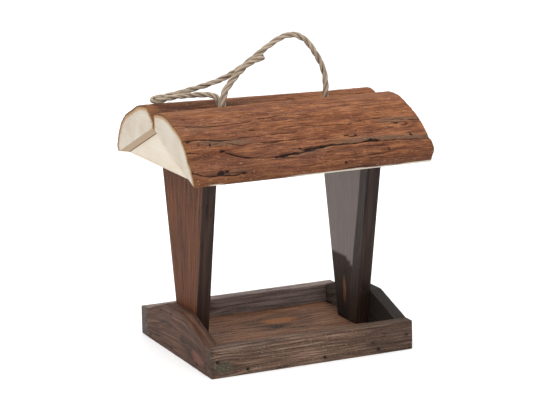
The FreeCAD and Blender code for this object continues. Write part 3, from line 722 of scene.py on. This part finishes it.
def bark(x, s, seed, cracks, deepest):
    """Height in mm and share of furrow, tone and grey of bark with its cracks; furrow marks painted shade."""
    bend = 4 * ripple(x / 80, s / 30, seed, 3) + 1.0 * ripple(x / 15, s / 8, seed + 1, 2)

    def winding_lines(long, apart, nudge, least, line_seed):
        """Distance from lines that run along the log, in units of their own width."""
        here, beside = (ripple(x / long, (s + bend + shift) / apart, line_seed, 2) for shift in (0, nudge))
        return np.abs(here) / (np.abs(beside - here) / nudge + least)

    strips = ripple(x / 48, (s + bend) / 5.0, seed + 2, 3)
    fibre = ripple(x / 20, (s + bend) / 1.7, seed + 5, 2)
    flakes = np.clip((ripple(x / 9 + s / 40, (s + bend) / 3.1, seed + 6, 2) - 0.42) * 4, 0, 1)
    swell = ripple(x / 90, s / 30, seed + 7, 2)
    broken = np.clip(ripple(x / 24, s / 8, seed + 4, 2) * 2.2 - 0.25, 0, 1) * 0.8
    creases = faded(winding_lines(72, 7.5, 0.6, 0.03, seed + 3), 1.04, 0.24) * broken
    fine = faded(winding_lines(46, 3.6, 0.5, 0.05, seed + 13), 0.54, 0.09)
    fine = fine * np.clip(ripple(x / 17, s / 5, seed + 14, 2) * 2.2 - 0.2, 0, 1)
    height = 0.45 * swell + 0.55 * strips + 0.2 * fibre + 0.3 * flakes - 0.9 * creases - 0.4 * fine
    # Creases darken the tone a little as painted shade.
    tone = 0.5 + 0.60 * strips + 0.35 * flakes + 0.45 * fibre - 0.2 * creases
    furrow = np.maximum(creases * 0.85, fine * 0.6)
    grey = np.clip(0.9 * ripple(x / 60, s / 10, seed + 8, 3) - 0.25, 0, 1)
    for course, width, depth, crack_seed in cracks:
        share = crack(x, s, course, width, crack_seed) * depth
        height, furrow = height - deepest * share, np.maximum(furrow, share)
    return height, furrow, tone, grey


def front_bark(x, s, length):
    """The front slab also has a raised lip under its long crack, pits, pale and ochre patches, a painted
    highlight on each crack's lower lip, and painted shade lower down.
    """
    height, furrow, tone, grey = bark(x, s, 7, FRONT_CRACKS, deepest=1.1)
    lip = np.interp(x, [-60, 0, 60, 138], [0, 0.7, 1.5, 2.3])
    course = np.interp(x, *np.array(LONG_CRACK).T)
    height = height + lip * faded(s, 14, 21) * faded(course - s, 0, 1)
    # Painted highlight: the tone is paler on each crack's lower lip, which faces the light.
    for path, width, depth, seed in FRONT_CRACKS:
        tone = tone + 0.45 * crack(x, s + LIT_LIP_SHIFT, path, width * 1.1, seed) * depth
    frayed_x, frayed_s = x + 1.2 * ripple(x / 3, s / 3, 431, 2), s + 0.7 * ripple(x / 4, s / 4, 433, 2)
    for place, long, wide, depth in FRONT_PITS:
        share = oval(frayed_x, frayed_s, place, (1.15 * long, 1.15 * wide), 1.9) * depth
        height, furrow = height - PIT_DEPTH * share, np.maximum(furrow, share)
    above = s - course
    patches = [grey * 0.55, faded(np.abs(above - 3.4), 3.96, 1.76) * faded(x, 15, 50),
               faded(np.abs(above), 4.48, 1.28) * faded(np.abs(x - 2), 39.2, 11.2) * 0.9]
    for place, size, firmness, strength, lean in WEATHERED:
        patches.append(oval(x, s + (x - place[0]) * lean, place, size, firmness) * strength)
    ochre = (0.55 * faded(s / length, 0.70, 1) + 0.5 * faded(x, ROOF_LEFT + 8, ROOF_LEFT)
             + faded(s, 10.2, 4.2) * np.clip(0.55 - x / 200, 0.2, 0.75) + 0.2 * ripple(x / 40, s / 8, 441, 2))
    shaded = (0.44 * faded(s, 60, 0) + 0.12 * faded(x, -30, -37.2) + 0.3 * faded(s, 16, 0) * faded(x, 20, 38))
    return {"height": height, "furrow": furrow, "tone": tone, "ochre": np.clip(ochre, 0, 1), "shaded": shaded,
            "grey": np.clip(np.maximum.reduce(patches), 0, 1)}


def back_bark(x, s, length):
    """The back slab's bark has painted shade and ochre on the flank by the ridge, and swells up at the left
    end.
    """
    height, furrow, tone, grey = bark(x, s, 57, BACK_CRACKS, deepest=1.0)
    flank = faded(s - length, -34, -26)
    near_end = faded(x, ROOF_LEFT + 14, ROOF_LEFT)
    height = height + 3.6 * faded(s - length, -40, -26) * faded(x, ROOF_LEFT + 36, ROOF_LEFT)
    ochre = 0.5 * faded(s, 9, 0) + flank * (0.3 + 0.7 * near_end)
    uneven = np.clip(0.85 + 0.4 * ripple(x / 30, s / 5, 551, 2), 0, 1)
    shaded = flank * np.clip((70 - x) / 120, 0.12, 1) * uneven * (1 - 0.7 * near_end)
    return {"height": height, "furrow": furrow, "tone": tone, "ochre": ochre, "shaded": shaded,
            "grey": grey * (1 - flank)}


BARK_RED, BARK_SALMON, BARK_LIGHT = (0.135, 0.040, 0.014), (0.218, 0.073, 0.024), (0.36, 0.150, 0.066)
BARK_DARK, BARK_OCHRE, BARK_GREY = (0.055, 0.018, 0.009), (0.25, 0.105, 0.032), (0.130, 0.083, 0.053)
BARK_PINK, BARK_SHADE_PLUM, BARK_SPECK = (0.200, 0.078, 0.044), (0.060, 0.024, 0.016), (0.50, 0.33, 0.21)
BARK_FURROW_SHADE, RIM_OCHRE, RIM_DARK = (0.012, 0.006, 0.005), (0.32, 0.180, 0.075), (0.110, 0.048, 0.022)
CREAM_LIGHT, CREAM_DARK, CREAM_RING = (0.53, 0.485, 0.42), (0.46, 0.39, 0.31), (0.38, 0.29, 0.20)
CREAM_TAN, CREAM_DOT = (0.31, 0.215, 0.130), (0.110, 0.060, 0.035)


def bark_color(tree, place, streaks, threads, specks):
    """Red brown bark under pale and dark streaks, the slab's own ochre and grey stains and painted shade,
    with black painted shade in its furrows.
    """
    tone, furrow = attribute(tree, "tone"), attribute(tree, "furrow")
    blots = place.stretched(14, 60, 60, (4, 1, 2)).noise(4, 0.6)
    mottle = place.stretched(70, 150, 150, (8, 2, 5)).noise(4, 0.62)
    hue = place.stretched(9, 30, 30, (5, 5, 1)).noise(2)
    base = (tone * 0.5 + mottle * 0.9 + blots * 0.5 - 0.50).step(0.12, 0.80).blend(BARK_RED, BARK_SALMON)
    return painted(base, [
        (hue.step(0.48, 0.68), 0.5, BARK_PINK),
        ((streaks * 0.6 + mottle * 0.3 + tone * 0.1).step(0.49, 0.60), 0.65, BARK_LIGHT),
        ((streaks * 0.5 + mottle * 0.2 + threads * 0.3).step(0.49, 0.42), 0.7, BARK_DARK),
        (threads.step(0.46, 0.38), 0.55, BARK_DARK),
        (threads.step(0.56, 0.64), 0.42, BARK_LIGHT),
        (attribute(tree, "ochre") * streaks.step(0.30, 0.56), 0.75, BARK_OCHRE),
        (attribute(tree, "grey"), streaks * 0.8 + 0.25, BARK_GREY),
        # Painted shade towards the front slab's eave and on the back slab's flank by the ridge.
        (attribute(tree, "shaded"), 0.9, BARK_SHADE_PLUM),
        (specks.step(0.64, 0.72), 0.5, BARK_SPECK),
        # Painted shade: dark round the furrows, cracks, pits and rope holes, black inside them.
        ((furrow + (threads - 0.5) * 0.4).step(0.05, 0.55), 0.6, BARK_DARK),
        ((furrow + (threads - 0.5) * 0.6).step(0.35, 0.85), 0.9, BARK_FURROW_SHADE)])


def cream_color(tree, place):
    """Sawn wood with year rings and a dark rim under the bark; depth is the way in from the bark in mm. The
    left end of the back slab has a tan strip and a dark line where it sits on the wedge."""
    depth, tan = attribute(tree, "depth"), attribute(tree, "tan")
    grain = place.stretched(500, 70, 260, (9, 3, 5)).noise(3, 0.55)
    clouds = place.stretched(30, 45, 45, (1, 6, 8)).noise(3)
    ring = (depth * 0.30 + clouds * 1.1).fraction()
    rim = depth * 0.8 + clouds * 1.8 - 0.9
    dots = place.stretched(330, 330, 330, (6, 6, 2)).noise(1).step(0.66, 0.72)
    lean = math.atan(SEAT_SLOPE)
    seat = abs(place.axis(1) * (1000 * math.sin(lean))
               + (place.axis(2) - SEAT_TOP / 1000) * (1000 * math.cos(lean)))
    return painted((grain * 0.35 + clouds * 0.75).step(0.35, 0.80).blend(CREAM_LIGHT, CREAM_DARK), [
        (ring.step(0.62, 0.95), 0.30, CREAM_RING),
        (seat.step(8.2, 7.4) * tan, 0.85, CREAM_TAN),
        (seat.step(1.1, 0.3) * tan, 0.85, darker(CREAM_TAN, 0.12)),
        (rim.step(5.2, 3.2), 0.55, RIM_OCHRE),
        (rim.step(3.3, 2.3), 1, RIM_OCHRE),
        (rim.step(1.7, 0.9), 1, RIM_DARK),
        (dots * depth.step(3, 5) * depth.step(12, 9), 0.7, CREAM_DOT)])


def bark_and_wood():
    """Bark where the sawn attribute is 0, pale wood where it is 1."""
    material, tree = new_material("bark_and_pale_wood")
    place = object_place(tree)
    streaks = place.stretched(24, 560, 560).noise(5, 0.70)
    threads = place.stretched(46, 1500, 1500, (3, 0, 0)).noise(3, 0.6)
    specks = place.stretched(330, 620, 620, (2, 7, 1)).noise(2, 0.6)
    sawn = attribute(tree, "sawn")
    color = sawn.blend(bark_color(tree, place, streaks, threads, specks), cream_color(tree, place))
    relief = (streaks * 0.9 + threads * 0.6 + specks * 0.2) * (1 - sawn * 0.8)
    return finished(material, color, streaks * 0.2 + 0.62, relief, depth=0.0011, shine=0.15)


def outward_ways(outline, way):
    """Unit vectors across each column's outline, evened over five rows."""
    ahead = np.gradient(outline, axis=1)
    ahead = np.stack([np.apply_along_axis(np.convolve, 1, np.pad(ahead[..., k], ((0, 0), (2, 2)), "edge"),
                                          np.ones(5) / 5, "valid") for k in range(2)], axis=-1)
    ways = np.stack([ahead[..., 1], -ahead[..., 0]], axis=-1) * way
    return ways / np.linalg.norm(ways, axis=-1, keepdims=True)


def nearest(points, line):
    """Distance from each point to the nearest point of a line."""
    return np.linalg.norm(points[:, None] - line[None], axis=2).min(axis=1)


def bark_slab(node, piece, middle, way, left_keys, right_keys, counts, under, surface):
    """Slab drawn between its two end outlines, each followed from the eave through its keys to the ridge with
    counts of rows between keys. Places are (y, z) in mm, way is -1 for the front slab and 1 for the back one,
    under lists its underside's corners, and surface gives its bark."""
    left, right = (end_outline(node, x, middle, way) for x in (ROOF_LEFT, ROOF_RIGHT))
    eave = tuple(left[0])
    first = rows_between(left, [eave] + left_keys + [RIDGE_CORNER], counts)
    last = rows_between(right, [eave] + right_keys + [RIDGE_CORNER], counts)
    rows = len(first)
    share = np.linspace(0, 1, COLUMNS)[:, None, None]
    outer = first * (1 - share) + last * share
    x = np.repeat(ROOF_LEFT + (ROOF_RIGHT - ROOF_LEFT) * share[..., 0], rows, axis=1)
    s = reach_along(outer)
    length = s[:, -1 - counts[-1] * (len(counts) > 2)][:, None]
    looks = surface(x, s, length)
    height = looks.pop("height")
    for from_edge in (s, s[:, -1:] - s):
        height = height * np.clip(from_edge / RELIEF_FADE, 0.1, 1)
    outer = outer + outward_ways(outer, way) * height[..., None]
    torn = faded(np.abs(x - TORN_AT), *TORN_REACH) * (way < 0)
    sawn_share = np.maximum(faded(x, *SAWN_FROM), torn)
    sawn_eave = faded(s - 0.8 * ripple(x / 25, 0, 601, 2), *SAWN_EAVE) * sawn_share
    hole_floor = SEAT_TOP - np.abs(outer[..., 0]) * SEAT_SLOPE + HOLE_FLOOR_OVER_SEAT[way]
    for hole, radius in ROPE_HOLES:
        off = np.hypot(x - hole, outer[..., 0] - HOLE_ACROSS)
        drop = np.minimum(hole_floor - outer[..., 1], 0)
        outer[..., 1] += faded(off, radius, radius - HOLE_EDGE) * drop
        # Painted shade round the mouth of each rope hole.
        looks["furrow"] = np.maximum(looks["furrow"], faded(off, radius + HOLE_SHADOW, radius))
    bottom = spaced(np.array([RIDGE_CORNER] + under + [eave], float), UNDERSIDE_GAP)[1:-1]
    bottom = np.repeat(bottom[None], COLUMNS, axis=0)
    bottom[..., 1] += 0.12 * ripple(x[:, :1] / 12, bottom[..., 0] / 9, 611, 2) - 0.1
    around = np.concatenate([outer, bottom], axis=1)
    loops = np.concatenate([np.broadcast_to(x[:, :1, None], around.shape[:2] + (1,)), around], axis=-1) / 1000
    points, faces = capped(loops, np.array(middle) / 1000, RINGS_TO_MIDDLE)
    on_loops = COLUMNS * around.shape[1]

    def spread(values, elsewhere):
        filled = np.full(len(points), float(elsewhere))
        filled[:on_loops].reshape(around.shape[:2])[:, :rows] = values
        return filled

    depth = np.full(len(points), 30.0)
    for column, x_end in ((0, ROOF_LEFT), (-1, ROOF_RIGHT)):
        at_end = np.abs(points[:, 0] * 1000 - x_end) < 0.1
        depth[at_end] = nearest(points[at_end][:, 1:] * 1000, outer[column, 3:])
    attributes = {key: spread(values, 0.5 if key == "tone" else 0) for key, values in looks.items()}
    attributes.update(sawn=spread(sawn_eave, 1), depth=depth,
                      tan=(points[:, 0] < (ROOF_LEFT + 0.1) / 1000) * float(way > 0))
    made = mesh_object(piece, points, faces, attributes, slab_surface)
    take_place(face_outwards(made, crease=62), node)


slab_surface = bark_and_wood()
bark_slab("front_roof_slab", "front_bark_slab", middle=(-45, 228), way=-1,
          left_keys=[(-98.2, 200), (-84.5, 221.6), (8.7, 256.6)],
          right_keys=[(-103.4, 209.7), (-98, 217.6), (8.7, 256.6)],
          counts=(14, 38, 196, 20), under=[], surface=front_bark)
bark_slab("back_roof_slab", "back_bark_slab", middle=(45, 235), way=1,
          left_keys=[(118.6, 205.8)], right_keys=[(118.6, 205.8)],
          counts=(10, 245), under=[(0.0, 238.0), (81.6, 205.06)], surface=back_bark)

# Nails
# Thin wire nails with small flat heads, driven level with the wood and gone dull and brown. One pattern is
# set at each head's place, turned about its shank.

STEEL_GREY, STEEL_BROWN = (0.011, 0.009, 0.008), (0.013, 0.007, 0.004)
NAIL_HEAD = [(0, -0.0001), (0.0011, -0.0001), (0.00145, -0.0002), (0.0016, -0.00045), (0.00155, -0.0009),
             (0.0010, -0.0012), (0.0009, -0.0016)]
NAIL_SHANK, NAIL_POINT = 0.0009, 0.0022


def scattered(name, distribute):
    """Node group that sets a pattern at points, turned about their direction, and makes it real."""
    tree = bpy.data.node_groups.new(name, "GeometryNodeTree")
    tree.interface.new_socket("Geometry", in_out="OUTPUT", socket_type="NodeSocketGeometry")
    for label, kind in (("Geometry", "Geometry"), ("Pattern", "Object"), ("Material", "Material"),
                        ("Seed", "Int"), ("Lean", "Float"), ("Smallest", "Float"), ("Density", "Float")):
        tree.interface.new_socket(label, in_out="INPUT", socket_type="NodeSocket" + kind)
    given = tree.nodes.new("NodeGroupInput").outputs

    def random(low, high):
        return add_node(tree, "FunctionNodeRandomValue", {2: low, 3: high, "Seed": given["Seed"]}, output=1)

    pattern = add_node(tree, "GeometryNodeObjectInfo", {"Object": given["Pattern"]}, output="Geometry")
    if distribute:
        points = add_node(tree, "GeometryNodeDistributePointsOnFaces",
                          {"Mesh": given["Geometry"], "Density": given["Density"], "Seed": given["Seed"]})
        direction = points.node.outputs["Normal"]
    else:
        points = given["Geometry"]
        direction = add_node(tree, "GeometryNodeInputNamedAttribute", {"Name": "out"},
                             {"data_type": "FLOAT_VECTOR"})
    facing = add_node(tree, "FunctionNodeAlignRotationToVector", {"Vector": direction}, {"axis": "Z"})
    turned = add_node(tree, "GeometryNodeInstanceOnPoints",
                      {"Points": points, "Instance": pattern, "Rotation": facing,
                       "Scale": random(given["Smallest"], 1.0)})
    for axis, angle in (("Z", random(0.0, 6.283)), ("X", random(0.0, given["Lean"]))):
        turn = add_node(tree, "ShaderNodeCombineXYZ", {axis: angle})
        turned = add_node(tree, "GeometryNodeRotateInstances", {"Instances": turned, "Rotation": turn})
    real = add_node(tree, "GeometryNodeRealizeInstances", {"Geometry": turned})
    covered = add_node(tree, "GeometryNodeSetMaterial", {"Geometry": real, "Material": given["Material"]})
    add_node(tree, "NodeGroupOutput", {"Geometry": covered})
    return tree


def plain_mesh(holder):
    """Mesh that an object's curve or modifiers come to; the object itself is removed."""
    bpy.context.view_layer.update()
    mesh = bpy.data.meshes.new_from_object(holder.evaluated_get(bpy.context.evaluated_depsgraph_get()))
    bpy.data.objects.remove(holder)
    return mesh


def baked(holder, tree, values, name):
    """Object with the mesh that a node tree makes of a holder, the tree's inputs set by their names."""
    modifier = holder.modifiers.new(name, "NODES")
    modifier.node_group = tree
    for item in tree.interface.items_tree:
        if item.item_type == "SOCKET" and item.in_out == "INPUT" and item.name in values:
            modifier[item.identifier] = values[item.name]
    mesh = plain_mesh(holder)
    mesh.name = name
    bpy.data.objects.remove(values["Pattern"])
    return placed_object(name, mesh)


def turned_profile(name, profile, sides, material):
    """Closed shape turned about Z from (radius, height) points, first and last on the axis."""
    points, faces = [(0, 0, profile[0][1])], []
    turns = [2 * math.pi * k / sides for k in range(sides)]
    for radius, height in profile[1:-1]:
        points += [(radius * math.cos(turn), radius * math.sin(turn), height) for turn in turns]
    points.append((0, 0, profile[-1][1]))
    for k in range(sides):
        after = (k + 1) % sides
        faces.append((0, 1 + k, 1 + after))
        for ring in range(len(profile) - 3):
            a, b = 1 + ring * sides + k, 1 + ring * sides + after
            faces.append((a, a + sides, b + sides, b))
        last = 1 + (len(profile) - 3) * sides
        faces.append((last + after, last + k, len(points) - 1))
    return mesh_object(name, np.array(points), faces, {}, material)


def steel_material():
    material, tree = new_material("dull_nail_steel")
    spots = object_place(tree).stretched(900, 900, 900).noise(3)
    shader_input(material, "Metallic").default_value = 0.3
    return finished(material, spots.step(0.35, 0.7).blend(STEEL_GREY, STEEL_BROWN), spots * 0.3 + 0.45, spots,
                    depth=0.0002, shine=0.15)


nail_steel = steel_material()
nail_setting = scattered("set_nails", distribute=False)
for node in [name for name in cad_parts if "nail" in name]:
    nails = nail_parts(node)
    reach = nails[0][2]
    profile = NAIL_HEAD + [(NAIL_SHANK, NAIL_POINT - reach), (0, -reach)]
    holder = mesh_object("nail_heads", np.array([head for head, way, reach in nails]), [],
                         {"out": np.array([-way for head, way, reach in nails])}, nail_steel)
    values = {"Pattern": turned_profile("nail_pattern", profile, 20, nail_steel), "Material": nail_steel,
              "Seed": 3, "Lean": 0.0, "Smallest": 1.0}
    piece = node.replace("nails", "wire_nails").replace("post_nail", "post_wire_nail")
    take_place(face_outwards(baked(holder, nail_setting, values, piece), crease=40), node)

# Rope
# Three strand jute rope. The handle comes up through the roof on the right, loops over the top, lies folded
# on the back slab and goes down again on the left beside the rope's cut end; a knot under each hole holds it.

ROPE, DRAWN_ROPE = 0.006, 0.00648
ROPE_LAY, KNOT_LAY, PATH_GAP = 0.034, 0.024, 0.0018
STRANDS, ROUND_STRAND, STRAND_GRID = 3, 14, 0.0009
STRAND_OUT, STRAND_RADIUS, SKIN_LENGTH, FLARE_LENGTH = 0.238, 0.278, 0.0105, 0.009
KNOT_START, KNOT_TURNS, KNOT_POINTS, KNOT_CORE = 0.35, 1.01, 260, 0.0052
KNOT_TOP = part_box("left_rope_knot")[1].z * 1000
HANDLE_ROUTE = [
    (70, 12, KNOT_TOP), (70, 12, 250), (71.5, 12, 272), (68, 12, 289.5), (59.5, 12.3, 305), (50, 13, 318.5),
    (36.5, 14, 327), (20, 15.7, 324), (4, 18.5, 313), (-13, 23, 300), (-31, 29, 286.5), (-51, 35.5, 278),
    (-73, 42, 272.3), (-92, 46, 267.8), (-105.5, 47.5, 266.3), (-114.5, 44.5, 265.9), (-116, 37.2, 265),
    (-110, 32, 265.4), (-101, 31.5, 267.6), (-88, 33, 268.3), (-75, 32, 268.5), (-62.5, 27, 268.6),
    (-54, 20.3, 268.2), (-50.4, 15.6, 262), (-50.2, 15.15, 245.8), (-50.2, 15.15, KNOT_TOP),
]
TAIL_ROUTE = [
    (-50.2, 8.85, KNOT_TOP), (-50.2, 8.85, 246), (-50, 9.2, 261), (-47, 10, 273), (-36.5, 12.5, 284),
    (-25.5, 15.2, 293.3), (-14, 16, 301), (0, 13, 305.5),
]
JUTE_LIGHT, JUTE_DARK, JUTE_VALLEY_SHADE = (0.45, 0.365, 0.28), (0.22, 0.165, 0.115), (0.075, 0.050, 0.032)
FIBRE_LIGHT, FIBRE_DARK = (0.50, 0.41, 0.30), (0.36, 0.28, 0.19)


def jute_material(name, light, dark):
    """Jute fibres along the strands, with painted shade where the strands meet; the lay attribute is (round
    the strand, along it, strand's number).
    """
    material, tree = new_material(name)
    lay = attribute(tree, "lay", "Vector")
    threads = lay.stretched(750, 38, 3).noise(4, 0.65)
    yarns = abs((lay.axis(0) * 480 + lay.axis(1) * 90).fraction() - 0.5) * 2
    patches = object_place(tree).stretched(150, 150, 150).noise(3)
    color = painted((threads * 0.75 + patches * 0.45).step(0.38, 0.78).blend(dark, light), [
        (yarns.step(0.30, 0.0), 0.45, dark),
        # Painted shade in the valleys between the strands.
        (attribute(tree, "valley") ** 1.4, 0.85, JUTE_VALLEY_SHADE)])
    return finished(material, color, threads * 0.15 + 0.75, threads * 0.6 + yarns * 0.7, depth=0.0005,
                    shine=0.2)


def smooth_line(name, route):
    """Points of the smooth spline that has the route's points as its control points."""
    curve = bpy.data.curves.new(name, "CURVE")
    curve.dimensions = "3D"
    curve.resolution_u = 12
    spline = curve.splines.new("NURBS")
    spline.points.add(len(route) - 1)
    for point, place in zip(spline.points, route):
        point.co = (*(value / 1000 for value in place), 1)
    spline.order_u = 3
    spline.use_endpoint_u = True
    return np.array([vertex.co for vertex in plain_mesh(placed_object(name, curve)).vertices])


def even_points(line, gap):
    """Lengths from a line's start that are at most a gap apart, and the line's points there."""
    length = reach_along(line)[-1]
    even = np.linspace(0, length, int(length / gap) + 2)
    return even, points_at(even, line)


def laid_strands(line, diameter, pitch, flare=0, slack=(1, 1, 1, 1, 1, 1)):
    """Strands wound round a line: points, faces, the lay attribute and one of painted shade in the valleys
    between strands. slack is the thickness from start to end as a share of the diameter, and a flare of 1
    opens the cut end."""
    even, centre = even_points(line, STRAND_GRID)
    count, length = len(even), even[-1]
    tangent = np.gradient(centre, axis=0)
    tangent /= np.linalg.norm(tangent, axis=1)[:, None]
    side = np.cross(tangent[0], (0.3, 0.9, 0.1))
    sides = []
    for way in tangent:
        side = side - way * (side @ way)
        side /= np.linalg.norm(side)
        sides.append(side)
    sides = np.array(sides)
    others = np.cross(tangent, sides)
    to_end = faded(length - even, FLARE_LENGTH, 0) * flare
    pulled = np.interp(even / length, [0, 0.25, 0.40, 0.80, 0.92, 1], slack)
    points, faces, lay, valley = [], [], [], []
    angles = np.linspace(-math.pi, math.pi, ROUND_STRAND, endpoint=False)
    for k in range(STRANDS):
        turn = 2 * math.pi * (even / pitch + k / STRANDS) + 0.5 * ripple(even * 22, k, 84, 2)
        wobble = 1 + 0.08 * ripple(even * 140, k * 3.7, 90 + k, 2) + 0.04 * to_end
        out = sides * np.cos(turn)[:, None] + others * np.sin(turn)[:, None]
        cross = others * np.cos(turn)[:, None] - sides * np.sin(turn)[:, None]
        heart = centre + out * (diameter * STRAND_OUT * pulled * (1 + 0.30 * to_end))[:, None]
        skin = out[:, None] * np.cos(angles)[:, None] * 0.96 + cross[:, None] * np.sin(angles)[:, None]
        bumps = 1 + 0.05 * np.cos(5 * (angles[None] + even[:, None] * 320))
        radius = (diameter * STRAND_RADIUS * wobble * pulled)[:, None] * bumps
        points.append((heart[:, None] + skin * radius[..., None]).reshape(-1, 3))
        around, along = np.meshgrid(angles, even)
        number = np.full(along.shape, k)
        lay.append(np.stack([around / 2 / math.pi * SKIN_LENGTH, along, number], axis=-1).reshape(-1, 3))
        # Painted shade on each strand's side that faces the others.
        valley.append(np.clip(0.55 - np.cos(around), 0, 1).ravel())
        grid = (k * count + np.arange(count))[:, None] * ROUND_STRAND + np.arange(ROUND_STRAND)
        ahead = np.roll(grid, -1, axis=1)
        faces += np.stack([grid[:-1], ahead[:-1], ahead[1:], grid[1:]], axis=-1).reshape(-1, 4).tolist()
        faces += [grid[0][::-1].tolist(), grid[-1].tolist()]
    return np.vstack(points), faces, {"lay": np.vstack(lay), "valley": np.concatenate(valley)}


def joined(parts):
    """Points, faces and attributes of several parts as those of one."""
    points, faces, attributes = [], [], {}
    for part_points, part_faces, part_attributes in parts:
        base = sum(len(part) for part in points)
        points.append(part_points)
        faces += [[base + corner for corner in face] for face in part_faces]
        for key, values in part_attributes.items():
            attributes.setdefault(key, []).append(values)
    return np.vstack(points), faces, {key: np.concatenate(values) for key, values in attributes.items()}


def rope_piece(node, piece, parts):
    made = mesh_object(piece, *joined(parts), jute)
    return take_place(face_outwards(made, crease=60), node)


def overhand_knot(node, piece, strand, reach, rise, ends):
    """Round knot of the rope's own strands, pulled tight under a hole, with the rope's ends in its middle."""
    low, high = box_of(node)
    middle = (low + high) / 2
    t = np.linspace(KNOT_START, KNOT_START + 2 * math.pi * KNOT_TURNS, KNOT_POINTS)
    line = np.stack([reach * (np.sin(t) + 2 * np.sin(2 * t)), reach * (np.cos(t) - 2 * np.cos(2 * t)),
                     -rise * np.sin(3 * t)], axis=1) + middle
    parts = [laid_strands(line, strand, KNOT_LAY)]
    for across in ends:
        core = np.array([[middle[0], across, high[2] - 0.0002], [middle[0], across, high[2] - 0.005],
                         [middle[0], (across + middle[1]) / 2, low[2] + 0.0012]])
        parts.append(laid_strands(core, KNOT_CORE, ROPE_LAY))
    return rope_piece(node, piece, parts)


def fibre_pattern():
    """One loose fibre that curls away from the rope, as a thin three sided spike."""
    points, faces = [], []
    for step in range(5):
        t = step / 4
        heart = np.array([0.0011 * t * t, 0.0003 * math.sin(3 * t), 0.0016 * t - 0.0001])
        radius = 0.000075 * (1 - 0.75 * t)
        points += [heart + radius * np.array([math.cos(a), math.sin(a), 0]) for a in (0.0, 2.1, 4.2)]
    for step in range(4):
        for k in range(3):
            a, b = step * 3 + k, step * 3 + (k + 1) % 3
            faces.append((a, b, b + 3, a + 3))
    return mesh_object("fibre_pattern", np.array(points), faces + [(2, 1, 0), (12, 13, 14)], {}, jute)


def roped(node, route, far_end, slack, knots):
    """Rope along a route, with its loose fibres. knots is not used."""
    name = "laid_" + node
    line = smooth_line(name + "_line", route)
    rope = rope_piece(node, name, [laid_strands(line, DRAWN_ROPE, ROPE_LAY, far_end == "bare", slack)])
    values = {"Pattern": fibre_pattern(), "Material": loose_fibre, "Seed": 5, "Lean": 1.2, "Smallest": 0.35,
              "Density": 220000.0}
    fibres = baked(placed_object("fibre_holder", rope.data.copy()), fibre_setting, values, name + "_fibres")
    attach(fibres, "root")
    knots + [fibres]


jute = jute_material("jute_rope", JUTE_LIGHT, JUTE_DARK)
loose_fibre = jute_material("jute_fibres", FIBRE_LIGHT, FIBRE_DARK)
fibre_setting = scattered("loose_fibres", distribute=True)
right_knot = overhand_knot("right_rope_knot", "right_tied_knot", strand=0.0044, reach=0.0016, rise=0.0033,
                           ends=[0.012])
left_knot = overhand_knot("left_rope_knot", "left_tied_knot", strand=0.0058, reach=0.00217, rise=0.0026,
                          ends=[0.0089, 0.0151])
roped("rope_handle", HANDLE_ROUTE, far_end="object", slack=(1, 1, 0.95, 0.92, 0.98, 1),
      knots=[right_knot, left_knot])
roped("rope_tail", TAIL_ROUTE, far_end="bare", slack=(1.1, 1.15, 1.15, 1.12, 1.02, 1), knots=[])

# Studio
# A white floor, even light from all sides, a soft panel at the upper left and one above, and the
# photograph's view.

FLOOR_REACH = 6
VIEW_YAW, VIEW_PITCH, VIEW_ROLL = 0.4271, 0.2169, -0.0203
VIEW_TARGET, VIEW_DISTANCE = Vector((0.00344, 0, 0.14753)), 2.14065
VIEW_FOCAL, PHOTO_WIDTH = 2025.77, 550
SENSOR = 36
PANEL_AIM = Vector((0, 0, 0.15))


def soft_panel(name, place, side, power):
    """Square area light that faces the object's middle."""
    light = bpy.data.lights.new(name, "AREA")
    light.size = side
    light.energy = power
    panel = placed_object(name, light)
    panel.location = place
    panel.rotation_euler = (PANEL_AIM - Vector(place)).to_track_quat("-Z", "Y").to_euler()


studio_paint = new_material("studio_floor")[0]
for label, value in (("Base Color", (0.95, 0.95, 0.95, 1)), ("Emission Color", (1, 1, 1, 1)),
                     ("Emission Strength", 0.08), ("Roughness", 0.9), ("Specular IOR Level", 0.1)):
    shader_input(studio_paint, label).default_value = value
corners = [(x * FLOOR_REACH, y * FLOOR_REACH, 0) for x, y in ((-1, -1), (1, -1), (1, 1), (-1, 1))]
mesh_object("studio_floor", corners, [(0, 1, 2, 3)], {}, studio_paint)
soft_panel("key_panel", (-1.1, -1.2, 1.7), side=1.2, power=22)
soft_panel("top_panel", (0.4, 0.2, 1.9), side=1.4, power=14)

scene.view_settings.view_transform = "Standard"
world = bpy.data.worlds.new("studio_world")
world.use_nodes = True
for label, value in (("Color", (1, 1, 1, 1)), ("Strength", 1.0)):
    world.node_tree.nodes["Background"].inputs[label].default_value = value
scene.world = world

camera_data = bpy.data.cameras.new("camera")
camera_data.sensor_width = SENSOR
camera_data.lens = VIEW_FOCAL * SENSOR / PHOTO_WIDTH
camera_data.clip_start, camera_data.clip_end = 0.1, 30
camera = placed_object("camera", camera_data)
camera.matrix_world = (
    Matrix.Translation(VIEW_TARGET) @ Matrix.Rotation(-VIEW_YAW, 4, "Z")
    @ Matrix.Rotation(math.pi / 2 - VIEW_PITCH, 4, "X") @ Matrix.Rotation(VIEW_ROLL, 4, "Z")
    @ Matrix.Translation((0, 0, VIEW_DISTANCE)))
scene.camera = camera
